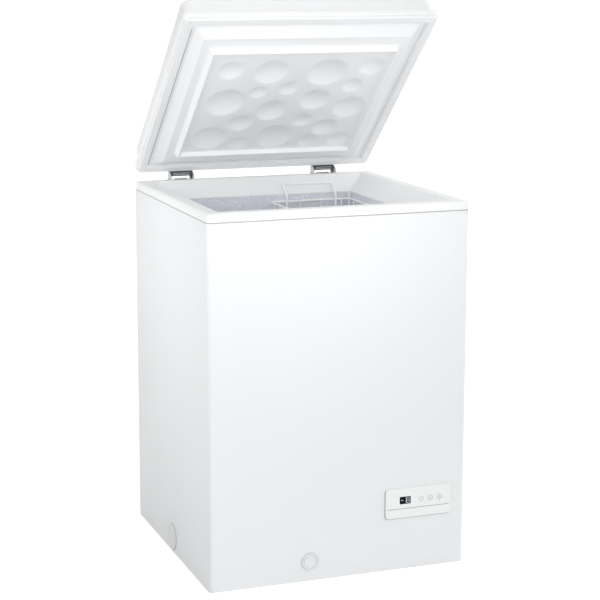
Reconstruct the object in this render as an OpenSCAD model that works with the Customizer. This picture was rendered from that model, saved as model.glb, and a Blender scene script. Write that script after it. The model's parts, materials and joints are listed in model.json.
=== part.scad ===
// Small chest freezer with a single lid, standing open.
// Origin: floor level under the middle of the cabinet. +X right, +Y back, +Z up.
// The lid's parts are drawn closed and turned open about the hinge axis.

/* [Cabinet] */
// Width of the cabinet
cab_w = 572; // [540:1:640]
// Depth of the cabinet
cab_d = 546; // [500:1:600]
// Height of the painted shell, up to the collar
shell_h = 765; // [740:1:900]
// Thickness of the painted sheet
skin_t = 0.8; // [0.6:0.1:1.2]
// Radius of the cabinet's front corners
corner_r = 9; // [4:1:16]
// Thickness of the base pan's sheet
pan_t = 1.2; // [0.8:0.1:2]
// Height of the base pan's turned-up edge
pan_lip_h = 8; // [6:1:8]

/* [Collar] */
// Height of the collar above the shell
collar_h = 20; // [14:1:30]
// Width of the collar's flat top at the left and right
collar_flat_x = 30; // [22:1:40]
// Width of the collar's flat top at the front and back
collar_flat_y = 26; // [20:1:36]
// Drop from the collar's flat top to the mouth
funnel_drop = 37; // [28:1:44]
// Run of the funnel at the left and right
funnel_run_x = 44; // [34:1:50]
// Run of the funnel at the front and back
funnel_run_y = 32; // [26:1:40]
// Wall of the collar moulding
collar_t = 3; // [2:0.5:4]
// Wall of the collar's lip that hangs into the mouth
lip_t = 2; // [1.5:0.5:3]
// Height of that lip
lip_h = 8; // [5:1:12]

/* [Liner] */
// Thickness of the liner's sheet
liner_t = 0.8; // [0.6:0.1:1.2]
// Height of the liner's floor above the ground
liner_floor = 95; // [85:1:120]
// Height of the step over the machine bay
step_z = 290; // [284:1:296]
// Width of the step over the machine bay
step_w = 174; // [168:1:178]
// Radius of the liner's upright corners
liner_r = 6; // [3:1:12]

/* [Machine bay] */
// Width of the machine bay
bay_w = 198; // [194:1:202]
// Height of the machine bay
bay_h = 245; // [240:1:255]
// Thickness of the bay's partition
bay_t = 1.2; // [0.8:0.1:1.6]

/* [Refrigeration] */
// Outer radius of the evaporator tube
evap_r = 4; // [3:0.5:4]
// Height of the lowest evaporator turn
evap_z = 345; // [340:1:355]
// Number of evaporator turns
evap_turns = 7; // [4:1:7]
// Drop from the mouth to the highest evaporator turn
evap_drop = 73; // [60:1:90]
// Outer radius of the condenser tube
cond_r = 3; // [2.5:0.5:3]
// Height of the lowest condenser turn
cond_z = 330; // [325:1:340]
// Number of condenser turns
cond_turns = 6; // [4:1:6]
// Drop from the shell's top to the highest condenser turn
cond_drop = 75; // [65:1:90]
// Radius of the compressor's can
can_r = 74; // [68:1:78]
// Height of the compressor's straight wall
can_wall_h = 86; // [80:1:96]
// Height of each domed end of the can
can_dome_h = 32; // [28:1:36]
// Wall of the can
can_t = 3; // [2.5:0.5:4]
// Distance of the can's middle from the right wall
can_in = 99; // [95:1:103]
// Distance of the can's middle from the back
can_ahead = 163; // [150:1:175]
// Radius of the compressor's motor
motor_r = 52; // [44:1:60]
// Height of the rubber feet
grommet_h = 22; // [18:1:26]
// Width of the foot plate
feet_w = 176; // [170:1:180]
// Depth of the foot plate
feet_d = 120; // [110:1:130]
// Radius of the refrigerant lines
line_r = 3.2; // [2.5:0.1:4]

/* [Lid] */
// Step from the cabinet's side in to the lid's edge
lid_step_x = 2; // [0:0.5:6]
// Step from the cabinet's front and back in to the lid's edge
lid_step_y = 3; // [1:0.5:6]
// Height of the lid's frame
frame_h = 14; // [10:1:18]
// Width of the frame's underside
frame_w = 25; // [23:1:28]
// Radius of the frame's corners
frame_r = 14; // [8:1:20]
// Height of the outer shell above the frame
lid_shell_h = 39; // [32:1:50]
// Step from the frame's edge in to the shell
lid_inset = 8; // [4:1:12]
// Free height of the gasket below the frame
gasket_h = 6.7; // [5:0.1:6.8]
// Gap left between the closed gasket and the collar
gasket_gap = 0.3; // [0.2:0.1:0.5]
// Gap between the frame's edge and the gasket
gasket_inset = 4; // [3:0.5:5]
// Wall of the inner panel
panel_t = 2; // [1.5:0.5:2.5]
// Depth of the panel's first level below the frame
level_1 = 15; // [12:1:16]
// Depth of the ridge below the frame
level_2 = 28; // [24:1:30]
// Depth of the panelled field's floor below the frame
field_depth = 17; // [16:1:19]
// Depth of the round dimples as a share of their width
dimple_share = 0.07; // [0.04:0.01:0.08]
// Width of the panel's flat rim at the left and right
rim_x = 9; // [6:1:12]
// Width of the panel's flat rim at the front and back
rim_y = 3; // [2:1:5]
// Run of the panel's first slope at the left and right
slope_x = 19; // [14:1:22]
// Run of the panel's first slope at the front and back
slope_y = 27; // [20:1:30]
// Width of the flat strip at the left and right
strip_x = 18; // [12:1:22]
// Width of the flat strip at the front and back
strip_y = 28; // [20:1:32]
// Run of the ridge's outer slope at the left and right
ridge_run_x = 6; // [4:1:8]
// Run of the ridge's outer slope at the front and back
ridge_run_y = 5; // [4:1:8]
// Width of the ridge's crest
crest_w = 4; // [3:1:6]
// Run of the ridge's inner slope at the left and right
field_run_x = 4; // [3:0.5:6]
// Run of the ridge's inner slope at the front and back
field_run_y = 1.5; // [1:0.5:4]
// Angle that the lid stands open at rest
lid_open = 42; // [10:1:60]

/* [Hinges] */
// Height of the hinge axis above the shell's top
axis_rise = 14; // [12:1:16]
// Distance of the hinge axis behind the cabinet
axis_back = 19; // [17:1:22]
// Distance of each hinge from the cabinet's side
hinge_in = 112; // [86:1:160]
// Inside width of the hinge's fixed channel
channel_w = 52; // [44:1:60]
// Thickness of the hinge plates
plate_t = 2; // [1.5:0.5:2.5]
// Height of the hinge's mounting plate
base_h = 76; // [64:1:90]
// Top of the mounting plate below the shell's top
base_drop = 4; // [2:0.5:8]
// Width of the mounting plate beyond the channel on each side
base_lap = 10; // [8:1:14]
// Distance of the mounting screws from the plate's upper and lower edge
base_screw_in = 16; // [12:1:20]
// Radius of the hinge pin
pin_r = 3; // [2.5:0.5:3.5]
// Radial clearance of the arm on the pin
pin_clear = 0.06; // [0.02:0.01:0.08]
// Radius of the fixed plates' round tops about the pin
ear_r = 21; // [18:1:21]
// Radius of the arm's eye about the pin
eye_r = 9; // [7:0.5:10]
// Distance from the pin to the back of the fixed channel
channel_back = 7; // [6.5:0.5:9]
// Radius of the spring's wire
spring_wire = 1.2; // [1:0.1:1.3]
// Length of the spring's leg
spring_leg = 30; // [26:1:40]
// Radius of the screws
screw_r = 2; // [1.5:0.1:2.5]
// Length of the hinge's screws in the cabinet
screw_l = 8; // [6:1:9]
// Radius of the screws' heads
head_r = 4; // [3:0.5:4.5]
// Height of the screws' heads
head_h = 2; // [1.5:0.1:2.5]

/* [Basket] */
// Width of the basket over its wire centres
basket_w = 194; // [150:1:194]
// Gap from the mouth's front and back to the basket's end wires
basket_end = 12; // [11:1:30]
// Height of the basket's side
basket_h = 186; // [140:1:200]
// Drop from the mouth to the basket's rim
rim_drop = 17; // [14:1:24]
// Radius of the rim wire
rim_r = 2.5; // [2:0.5:3]
// Radius of the thin wires
wire_r = 1.7; // [1.5:0.1:2]
// Clearance from the basket to the collar's lip
basket_clear = 1; // [0.5:0.5:3]
// Spacing of the upright wires
wire_pitch = 51; // [40:1:70]
// Distance between the legs of a hanger
hanger_w = 120; // [90:1:140]
// How far out on the collar's slope a hanger rests
hanger_run = 15; // [10:1:20]

/* [Front] */
// Width of the control bezel
bezel_w = 150; // [130:1:160]
// Height of the control bezel
bezel_h = 64; // [56:1:70]
// How far the bezel stands out from the shell
bezel_out = 4; // [3:0.5:6]
// Distance of the bezel's middle from the right wall
bezel_in = 109; // [101:1:115]
// Height of the bezel's middle
bezel_z = 147; // [140:1:160]
// Width of the display window
window_w = 25; // [20:1:28]
// Height of the display window
window_h = 16; // [12:1:18]
// Radius of the keys
key_r = 5.8; // [5:0.1:6.5]
// Gap round each key
key_gap = 0.3; // [0.2:0.1:0.5]
// Travel of the keys
key_travel = 0.6; // [0.4:0.1:0.8]
// Radius of the front drain cap
cap_r = 18.5; // [17:0.5:22]
// Height of the drain's outlet
drain_z = 42; // [38:1:50]
// Place of the drain from the cabinet's middle
drain_x = -67; // [-100:1:-40]
// Distance of the drain's inlet behind the cabinet's front
drain_back = 123; // [93:1:153]
// Inner radius of the drain tube
drain_r = 10; // [8:0.5:11]
// Radius of the cap on the left side
side_cap_r = 29; // [26:1:32]
// Height of the middle of that cap
side_cap_z = 34; // [34:1:45]

/* [Hidden] */

$fn = 48;
thin = 0.01;                     // thickness of a hull's guide slab
set_gap = 0.2;                   // gap round a piece that is set in another
rest_gap = 0.3;                  // gap under a moving piece at its rest or stop
ball_grow = 1.03;                // balls at a wire's corners, against the wire's own width

// Cabinet
half_w = cab_w / 2;
half_d = cab_d / 2;
drain_y = drain_back - half_d;   // inlet in the liner's floor
inner_w = cab_w - 2 * skin_t;
inner_d = cab_d - 2 * skin_t;
inner_r = corner_r - skin_t;
top_z = shell_h + collar_h;
mouth_z = top_z - funnel_drop;
flat_in = [cab_w - 2 * collar_flat_x, cab_d - 2 * collar_flat_y];
mouth = flat_in - 2 * [funnel_run_x, funnel_run_y];
liner_w = mouth[0] + 2 * lip_t;
liner_d = mouth[1] + 2 * lip_t;
bay_top = bay_h + bay_t;
bay_x = half_w - bay_w;
step_x = liner_w / 2 - step_w;
hinge_x = half_w - hinge_in;
bezel_x = half_w - bezel_in;

// Refrigeration
evap_w = liner_w + 2 * (liner_t + evap_r) + set_gap;
evap_d = liner_d + 2 * (liner_t + evap_r) + set_gap;
evap_top = mouth_z - evap_drop;
evap_pitch = (evap_top - evap_z) / (evap_turns - 1);
evap_tail_x = half_w - 136;
cond_w = inner_w - 2 * cond_r - set_gap;
cond_d = inner_d - 2 * cond_r - set_gap;
cond_top = shell_h - cond_drop;
cond_pitch = (cond_top - cond_z) / (cond_turns - 1);
cond_tail_x = half_w - 56;
cond_bend = 14;
tail_z = bay_h - 20;             // where the tubes' tails end inside the bay
zone = 15;                       // foam stands back this far above and below the turns
can_x = half_w - can_in;
can_y = half_d - can_ahead;
shaft_r = motor_r / 2;
saddle_r = can_r - 24;
saddle_t = 3;
grommet_r = 11;
feet_t = 2.5;
foot_x = feet_w / 2 - 12;
foot_y = feet_d / 2 - 12;
feet_z = pan_t + grommet_h;
can_z = feet_z + feet_t + 2;
can_low = can_z + can_dome_h;
can_high = can_low + can_wall_h;
dome_r = (can_r * can_r + can_dome_h * can_dome_h) / (2 * can_dome_h);
relay_d = 24;
relay_w = 56;
relay_z = [can_low + 10, can_low + 70];
suction_in = 24;                 // start of the suction line inside the can's back
suction_rise = 28;
suction_z = can_low + suction_rise;
discharge_in = 20;               // start of the discharge line inside the can's back
discharge_rise = 16;
discharge_z = can_low + discharge_rise;
drier_x = half_w - 30;
drier_y = half_d - 39;
drier_z = [120, 190];
drier_r = 9;
coil_x = half_w - 96;
coil_y = half_d - 37;
coil_z = 100;
coil_r = 24;
capillary_r = 1.2;

// Openings in the cabinet
grille_x = half_w - 90;
grille_w = 156;
grille_z = [22, 222];
grille_lap = 8;
vent_y = 153 - half_d;
vent_z = 95;
vent_w = 150;
vent_h = 110;
vent_lap = 6;
gland_x = half_w - 184;
gland_z = 45;
gland_r = 8;
cord_r = 4;
outlet_r = drain_r + 2;
snap_r = side_cap_r - 4;
snap_l = 6;
screw_gap = 0.05;                // a screw's shank in its hole
grille_edge = 5;                 // grille's screws in from its corners

// Control panel
plate_y = -half_d - bezel_out;   // front face of the bezel
box_lap = 6;                     // bezel's rim over its opening in the shell
box_w = bezel_w - 2 * box_lap;
box_h = bezel_h - 2 * box_lap;
box_d = 20;
window_x = bezel_x - 30.5;
row_z = bezel_z + 6;             // height of the window and the keys
key_x = [bezel_x + 6, bezel_x + 27.5, bezel_x + 48.5];
flange_r = key_r + 1.8;
key_back = -half_d + 1.4;        // rear face of a key
board_y = -half_d + 6;
board_t = 1.6;
strip_z = bezel_z - 12;          // dividing line between the keys and the bare strip

// Hinges and lid
hinge_y = half_d + axis_back;
hinge_z = shell_h + axis_rise;
frame_z = top_z + gasket_gap + gasket_h;
frame_top = frame_z + frame_h;
lid_top = frame_top + lid_shell_h;
lid_w = cab_w - 2 * lid_step_x;
lid_d = cab_d - 2 * lid_step_y;
lid_back = lid_d / 2;
shell_w = lid_w - 2 * lid_inset;
shell_d = lid_d - 2 * lid_inset;
shell_r = frame_r - 2;
frame_in = [lid_w - 2 * frame_w, lid_d - 2 * frame_w];
panel_rim = [frame_in[0] - 2 * set_gap, frame_in[1] - 2 * set_gap];
plug_a = panel_rim - 2 * [rim_x, rim_y];
plug_b = plug_a - 2 * [slope_x, slope_y];
plug_c = plug_b - 2 * [strip_x, strip_y];
plug_d = plug_c - 2 * [ridge_run_x, ridge_run_y];
field_a = plug_d - 2 * [crest_w, crest_w];
field_b = field_a - 2 * [field_run_x, field_run_y];
wall = [panel_t, panel_t];
z_1 = frame_z - level_1;
z_2 = frame_z - level_2;
z_field = frame_z - field_depth;
// Round dimples of the field: place across, place back, width
dimples = [[-149, -113, 60], [-58, -105, 78], [72, -100, 90], [168, -118, 58],
    [-69, -35, 40], [-2, -47, 46], [144, -54, 46], [-136, -3, 90], [70, -4, 70],
    [160, 25, 74], [-23, 31, 70], [-85, 73, 56], [60, 69, 46], [123, 98, 58],
    [-144, 127, 80], [-72, 149, 44], [10, 129, 84], [94, 149, 44], [170, 145, 52]];
arm_half = channel_w / 2 - 0.5;
leaf_screw_x = 15;
base_z = [shell_h - base_drop - base_h, shell_h - base_drop];
base_screws = [base_z[0] + base_screw_in, base_z[1] - base_screw_in];
base_screw_x = channel_w / 2 - base_lap;
bridge_z = hinge_z - 20;         // top of the channel's back
spring_gap = 0.2;
spring_pitch = 2 * spring_wire - 0.1;
spring_turns = floor((channel_w - 2 * plate_t - 14) / spring_pitch) - 1;
arm_drop = [11, 4];              // from the pin forward and up to the web's lower edge

// Basket
rim_z = mouth_z - rim_drop;
basket_x1 = mouth[0] / 2 - basket_clear - rim_r;
basket_x = basket_x1 - basket_w / 2;
basket_l = mouth[1] - 2 * basket_end;
ring_drop = 60;                  // drop from the rim to the basket's middle ring
post_rise = 14;
leg_y = basket_l / 2 - 2 * rim_r - 0.05;
slope = atan2(funnel_drop, funnel_run_y);
bar_y = mouth[1] / 2 + hanger_run - (rim_r + rest_gap) * sin(slope);
bar_z = mouth_z + hanger_run * funnel_drop / funnel_run_y + (rim_r + rest_gap) * cos(slope);

// Outlines and common solids

module rounded(size, r) {
    square([size[0] - 2 * r, size[1]], center = true);
    square([size[0], size[1] - 2 * r], center = true);
    for (x = [-1, 1], y = [-1, 1])
        translate([x * (size[0] / 2 - r), y * (size[1] / 2 - r)]) circle(r);
}

// Outline with round front corners and square back corners
module front_rounded(w, y0, y1, r) {
    translate([-w / 2, y0 + r]) square([w, y1 - y0 - r]);
    translate([-w / 2 + r, y0]) square([w - 2 * r, r + 1]);
    for (x = [-1, 1]) translate([x * (w / 2 - r), y0 + r]) circle(r);
}

module slab(size, z0, z1, r) {
    translate([0, 0, z0]) linear_extrude(z1 - z0) rounded(size, r);
}

module block(x0, x1, y0, y1, z0, z1) {
    translate([x0, y0, z0]) cube([x1 - x0, y1 - y0, z1 - z0]);
}

// Four-sided funnel between two rectangles at two heights
module funnel(low, low_z, high, high_z) {
    hull() {
        translate([0, 0, low_z]) linear_extrude(thin) square(low, center = true);
        translate([0, 0, high_z - thin]) linear_extrude(thin) square(high, center = true);
    }
}

module rod_x(x0, x1, y, z, r) {
    translate([x0, y, z]) rotate([0, 90, 0]) cylinder(h = x1 - x0, r = r);
}

module rod_y(y0, y1, x, z, r) {
    translate([x, y0, z]) rotate([-90, 0, 0]) cylinder(h = y1 - y0, r = r);
}

module rod_z(z0, z1, x, y, r) {
    translate([x, y, z0]) cylinder(h = z1 - z0, r = r);
}

// Plate with round corners that stands across the cabinet
module upright(size, r, x, z, y0, y1) {
    translate([x, y1, z]) rotate([90, 0, 0]) linear_extrude(y1 - y0) rounded(size, r);
}

module bar(a, b, r) {
    v = b - a;
    translate(a) rotate([0, atan2(norm([v[0], v[1]]), v[2]), atan2(v[1], v[0])])
        cylinder(h = norm(v), r = r);
}

// Round wire or tube through a list of points
module wire(points, r) {
    for (i = [0 : len(points) - 2]) bar(points[i], points[i + 1], r);
    for (i = [1 : len(points) - 2]) translate(points[i]) sphere(ball_grow * r);
}

// One level turn of tube round a rectangle
module turn(w, d, z, r, bend) {
    for (s = [-1, 1]) {
        rod_x(-w / 2 + bend, w / 2 - bend, s * d / 2, z, r);
        rod_y(-d / 2 + bend, d / 2 - bend, s * w / 2, z, r);
    }
    for (q = [0 : 3])
        translate([(q == 0 || q == 3 ? 1 : -1) * (w / 2 - bend),
            (q < 2 ? 1 : -1) * (d / 2 - bend), z])
            rotate([0, 0, 90 * q]) rotate_extrude(angle = 90)
                translate([bend, 0]) circle(r);
}

// Turns the lid's pieces open about the hinge axis
module opened() {
    translate([0, hinge_y, hinge_z]) rotate([-lid_open, 0, 0])
        translate([0, -hinge_y, -hinge_z]) children();
}

module both_hinges() {
    for (x = [-hinge_x, hinge_x]) translate([x, 0, 0]) children();
}

// Cabinet

module cabinet_shell() {
    color([0.96, 0.96, 0.96]) difference() {
        linear_extrude(shell_h) difference() {
            front_rounded(cab_w, -half_d, half_d, corner_r);
            front_rounded(inner_w, -half_d + skin_t, half_d + 1, inner_r);
        }
        upright([box_w, box_h], 3, bezel_x, bezel_z, -half_d - 1, -half_d + 2);
        rod_y(-half_d - 1, -half_d + 2, drain_x, drain_z, outlet_r + set_gap);
        rod_x(-half_w - 1, -half_w + 2, 0, side_cap_z, snap_r + set_gap);
        block(half_w - 2, half_w + 1, vent_y - vent_w / 2 + vent_lap,
            vent_y + vent_w / 2 - vent_lap, vent_z - vent_h / 2 + vent_lap,
            vent_z + vent_h / 2 - vent_lap);
    }
}

module grille_holes(r) {
    for (x = [-1, 1], z = grille_z)
        rod_y(half_d - 10, half_d + 10, grille_x + x * (grille_w / 2 - grille_edge),
            z + (z == grille_z[0] ? grille_edge : -grille_edge), r);
}

module base_holes(r, y0, y1) {
    both_hinges() for (x = [-1, 1], z = base_screws)
        rod_y(y0, y1, x * base_screw_x, z, r);
}

module back_panel() {
    color([0.8, 0.81, 0.82]) difference() {
        block(-inner_w / 2, inner_w / 2, half_d - skin_t, half_d, 0, shell_h);
        block(grille_x - grille_w / 2 + grille_lap, grille_x + grille_w / 2 - grille_lap,
            half_d - 5, half_d + 5, grille_z[0] + grille_lap, grille_z[1] - grille_lap);
        rod_y(half_d - 5, half_d + 5, gland_x, gland_z, gland_r + set_gap);
        grille_holes(screw_r);
        base_holes(screw_r, half_d - 5, half_d + 5);
    }
}

module base_pan() {
    edge = [inner_w, inner_d];
    color([0.55, 0.56, 0.58]) difference() {
        slab(edge, 0, pan_lip_h, inner_r);
        slab(edge - 2 * [pan_t, pan_t], pan_t, pan_lip_h + 1, inner_r - pan_t);
    }
}

module top_collar() {
    over = 2;                    // the cut runs on above the collar
    lean = [funnel_run_x, funnel_run_y] * over / funnel_drop;
    color([0.94, 0.94, 0.94]) difference() {
        union() {
            difference() {
                slab([cab_w, cab_d], shell_h, top_z, corner_r);
                slab([cab_w, cab_d] - 2 * [collar_t, collar_t], shell_h - 1,
                    top_z - collar_t, corner_r - collar_t);
            }
            funnel(mouth + 4 * [lip_t, lip_t], mouth_z, flat_in + 2 * [collar_t, collar_t],
                top_z);
            slab([liner_w, liner_d], mouth_z - lip_h, mouth_z + 1, liner_r);
        }
        funnel(mouth, mouth_z, flat_in + 2 * lean, top_z + over);
        slab(mouth, mouth_z - lip_h - 1, mouth_z + thin, liner_r - lip_t);
    }
}

// Space inside the liner, grown by a wall
module liner_space(grow, top) {
    slab([liner_w + 2 * grow, liner_d + 2 * grow], step_z - grow, top, liner_r + grow);
    translate([(step_x - liner_w / 2) / 2, 0, 0])
        slab([step_x + liner_w / 2 + 2 * grow, liner_d + 2 * grow],
            liner_floor - grow, step_z + 1, liner_r + grow);
}

module inner_liner() {
    color([0.78, 0.79, 0.84]) difference() {
        liner_space(liner_t, mouth_z);
        liner_space(0, mouth_z + 1);
        rod_z(liner_floor - 5, liner_floor + 5, drain_x, drain_y, drain_r);
    }
}

module foam_insulation() {
    set_back = 4 * cond_r + 2 * set_gap;
    color([0.93, 0.88, 0.7]) difference() {
        union() {
            slab([inner_w, inner_d] - 2 * [pan_t, pan_t], pan_t, pan_lip_h, inner_r);
            slab([inner_w, inner_d], pan_lip_h, cond_z - zone, corner_r + 1);
            slab([inner_w - set_back, inner_d - set_back], cond_z - zone, cond_top + zone,
                cond_bend - cond_r + 1);
            slab([inner_w, inner_d], cond_top + zone, shell_h, corner_r + 1);
        }
        liner_space(liner_t, mouth_z + 1);
        slab([evap_w + 2 * (evap_r + set_gap), evap_d + 2 * (evap_r + set_gap)],
            evap_z - zone, evap_top + zone, liner_r + 2 * evap_r);
        funnel(mouth + 4 * [lip_t, lip_t], mouth_z, flat_in + 2 * [collar_t, collar_t], top_z);
        block(bay_x, half_w + 1, -half_d - 1, half_d + 1, 0, bay_top);
        rod_z(drain_z, liner_floor, drain_x, drain_y, outlet_r + set_gap);
        rod_y(-half_d - 1, drain_y, drain_x, drain_z, outlet_r + set_gap);
        translate([drain_x, drain_y, drain_z]) sphere(outlet_r + set_gap);
        rod_x(-half_w, -half_w + snap_l + 2, 0, side_cap_z, snap_r + set_gap);
        rod_z(bay_h, evap_z, evap_tail_x, evap_d / 2, evap_r + set_gap);
        rod_z(bay_h, cond_z, cond_tail_x, cond_d / 2, cond_r + set_gap);
        base_holes(screw_r, half_d - screw_l - 2, half_d);
    }
}

module bay_partition() {
    color([0.7, 0.71, 0.72]) difference() {
        intersection() {
            union() {
                block(bay_x, bay_x + bay_t, -inner_d / 2 + pan_t, inner_d / 2 - pan_t, pan_t,
                    bay_top);
                block(bay_x, inner_w / 2, -inner_d / 2, inner_d / 2, bay_h, bay_top);
            }
            slab([inner_w, inner_d], 0, bay_top, corner_r);
        }
        rod_z(0, bay_top + 1, evap_tail_x, evap_d / 2, evap_r + set_gap);
        rod_z(0, bay_top + 1, cond_tail_x, cond_d / 2, cond_r + set_gap);
    }
}

// Refrigeration

module evaporator_coil() {
    color([0.72, 0.45, 0.3]) {
        for (i = [0 : evap_turns - 1])
            turn(evap_w, evap_d, evap_z + i * evap_pitch, evap_r,
                liner_r + liner_t + evap_r);
        for (i = [0 : evap_turns - 2])
            rod_z(evap_z + i * evap_pitch, evap_z + (i + 1) * evap_pitch,
                evap_tail_x - 40 * (i + 1), evap_d / 2, evap_r);
        rod_z(tail_z, evap_z, evap_tail_x, evap_d / 2, evap_r);
    }
}

module condenser_coil() {
    color([0.4, 0.42, 0.44]) {
        for (i = [0 : cond_turns - 1])
            turn(cond_w, cond_d, cond_z + i * cond_pitch, cond_r, cond_bend);
        for (i = [0 : cond_turns - 2])
            rod_z(cond_z + i * cond_pitch, cond_z + (i + 1) * cond_pitch,
                cond_tail_x - 60 * (i + 1), cond_d / 2, cond_r);
        rod_z(tail_z, cond_z, cond_tail_x, cond_d / 2, cond_r);
    }
}

// Can with domed ends, grown by a wall
module can_solid(grow) {
    rod_z(can_low, can_high, can_x, can_y, can_r + grow);
    intersection() {
        rod_z(can_high - 1, can_high + can_dome_h + grow + 1, can_x, can_y, can_r + grow);
        translate([can_x, can_y, can_high + can_dome_h - dome_r]) sphere(dome_r + grow);
    }
    intersection() {
        rod_z(can_low - can_dome_h - grow - 1, can_low + 1, can_x, can_y, can_r + grow);
        translate([can_x, can_y, can_low - can_dome_h + dome_r]) sphere(dome_r + grow);
    }
}

// Can with the band where its halves are welded
module can_outside() {
    seam = (can_low + can_high) / 2;
    can_solid(0);
    rod_z(seam - 2, seam + 2, can_x, can_y, can_r + can_t);
}

module compressor_can() {
    color([0.1, 0.1, 0.11]) difference() {
        can_outside();
        can_solid(-can_t);
    }
}

module compressor_motor() {
    color([0.5, 0.5, 0.52]) intersection() {
        can_solid(-can_t);
        union() {
            rod_z(can_z, can_low, can_x, can_y, shaft_r);
            rod_z(can_low, can_high, can_x, can_y, motor_r);
            block(can_x - motor_r / 2, can_x + motor_r / 2, can_y - motor_r - 8, can_y + shaft_r,
                can_high - 30, can_high + 8);
        }
    }
}

module feet_holes(r, z0, z1) {
    for (x = [-1, 1], y = [-1, 1])
        rod_z(z0, z1, can_x + x * foot_x, can_y + y * foot_y, r);
}

module compressor_feet() {
    color([0.12, 0.12, 0.13]) difference() {
        union() {
            translate([can_x, can_y, 0])
                slab([feet_w, feet_d], feet_z, feet_z + feet_t, 10);
            rod_z(feet_z, can_low, can_x, can_y, saddle_r);
        }
        rod_z(feet_z + feet_t, can_low + 1, can_x, can_y, saddle_r - saddle_t);
        can_solid(0);
        feet_holes(5, feet_z - 1, feet_z + feet_t + 1);
    }
}

module compressor_grommets() {
    color([0.08, 0.08, 0.08]) difference() {
        feet_holes(grommet_r, pan_t, feet_z);
        feet_holes(5, pan_t - 1, feet_z + 1);
    }
}

module compressor_studs() {
    nut_z = feet_z + feet_t;
    color([0.7, 0.7, 0.72]) {
        feet_holes(4.5, pan_t, nut_z + 8);
        feet_holes(9, nut_z, nut_z + 1.5);
        for (x = [-1, 1], y = [-1, 1])
            translate([can_x + x * foot_x, can_y + y * foot_y, nut_z + 1.5])
                cylinder(h = 5, r = 7.5, $fn = 6);
    }
}

module relay_cover() {
    front = can_y - can_r - relay_d;
    color([0.2, 0.2, 0.22]) difference() {
        translate([can_x, front + relay_d / 2 + 5, 0])
            slab([relay_w, relay_d + 10], relay_z[0], relay_z[1], 4);
        can_outside();
    }
}

module suction_line() {
    color([0.72, 0.45, 0.3]) difference() {
        wire([[evap_tail_x, can_y + can_r - suction_in, suction_z],
            [evap_tail_x, evap_d / 2, suction_z], [evap_tail_x, evap_d / 2, tail_z]],
            evap_r);
        can_solid(0);
    }
}

module discharge_line() {
    color([0.72, 0.45, 0.3]) difference() {
        wire([[cond_tail_x, can_y + can_r - discharge_in, discharge_z],
            [cond_tail_x, cond_d / 2, discharge_z], [cond_tail_x, cond_d / 2, tail_z]],
            cond_r);
        can_solid(0);
    }
}

module filter_drier() {
    color([0.75, 0.48, 0.32]) {
        rod_z(drier_z[0], drier_z[1], drier_x, drier_y, drier_r);
        translate([drier_x, drier_y, drier_z[0]]) sphere(drier_r);
        translate([drier_x, drier_y, drier_z[1]]) sphere(drier_r);
        rod_z(drier_z[1], bay_h, drier_x, drier_y, line_r);
    }
}

module capillary_tube() {
    turns = 4;
    pitch = 2 * capillary_r - 0.1;
    color([0.75, 0.48, 0.32]) {
        for (i = [0 : turns - 1]) translate([coil_x, coil_y, coil_z + i * pitch])
            rotate_extrude() translate([coil_r, 0]) circle(capillary_r, $fn = 24);
        wire([[coil_x + coil_r, coil_y, coil_z], [drier_x, drier_y, coil_z],
            [drier_x, drier_y, drier_z[0] - drier_r]], capillary_r);
        wire([[coil_x - coil_r, coil_y, coil_z], [coil_x - coil_r, coil_y, bay_h]],
            capillary_r);
    }
}

module rear_grille() {
    mid = (grille_z[0] + grille_z[1]) / 2;
    color([0.3, 0.31, 0.32]) difference() {
        upright([grille_w, grille_z[1] - grille_z[0]], 4, grille_x, mid, half_d, half_d + 2);
        for (i = [-5 : 5])
            upright([grille_w - 36, 5], 2, grille_x, mid + i * 16, half_d - 1, half_d + 3);
        grille_holes(screw_r);
    }
}

module grille_screws() {
    color([0.6, 0.6, 0.62]) for (x = [-1, 1], z = grille_z) {
        px = grille_x + x * (grille_w / 2 - grille_edge);
        pz = z + (z == grille_z[0] ? grille_edge : -grille_edge);
        rod_y(half_d - 6, half_d + 2, px, pz, screw_r - screw_gap);
        rod_y(half_d + 2, half_d + 2 + head_h, px, pz, head_r);
    }
}

module side_vent() {
    color([0.9, 0.9, 0.9]) translate([half_w, vent_y, vent_z]) rotate([90, 0, 90])
        difference() {
            union() {
                linear_extrude(2) rounded([vent_w, vent_h], 5);
                translate([0, 0, -4]) linear_extrude(5) rounded(
                    [vent_w - 2 * vent_lap - 2 * set_gap, vent_h - 2 * vent_lap - 2 * set_gap], 1);
            }
            for (i = [-4 : 4]) translate([0, i * 10, -5]) linear_extrude(8)
                rounded([vent_w - 32, 5], 2);
        }
}

module cord_gland() {
    color([0.12, 0.12, 0.12]) difference() {
        union() {
            rod_y(half_d - 6, half_d + 14, gland_x, gland_z, gland_r);
            rod_y(half_d, half_d + 3, gland_x, gland_z, gland_r + 3);
            rod_y(half_d - 6, half_d - skin_t, gland_x, gland_z, gland_r + 3);
        }
        rod_y(half_d - 7, half_d + 15, gland_x, gland_z, cord_r);
    }
}

module bay_wiring() {
    lead_r = 3.5;
    high = bay_h - lead_r - set_gap;
    front = can_y - can_r - relay_d;
    color([0.15, 0.15, 0.16]) wire([[bezel_x, board_y + board_t, bezel_z],
        [bezel_x, board_y + 40, bezel_z], [bezel_x, board_y + 40, high],
        [bezel_x, front - 40, high], [bezel_x, front - 40, relay_z[1] - 20],
        [bezel_x, front, relay_z[1] - 20]], lead_r);
}

// Control panel

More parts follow.
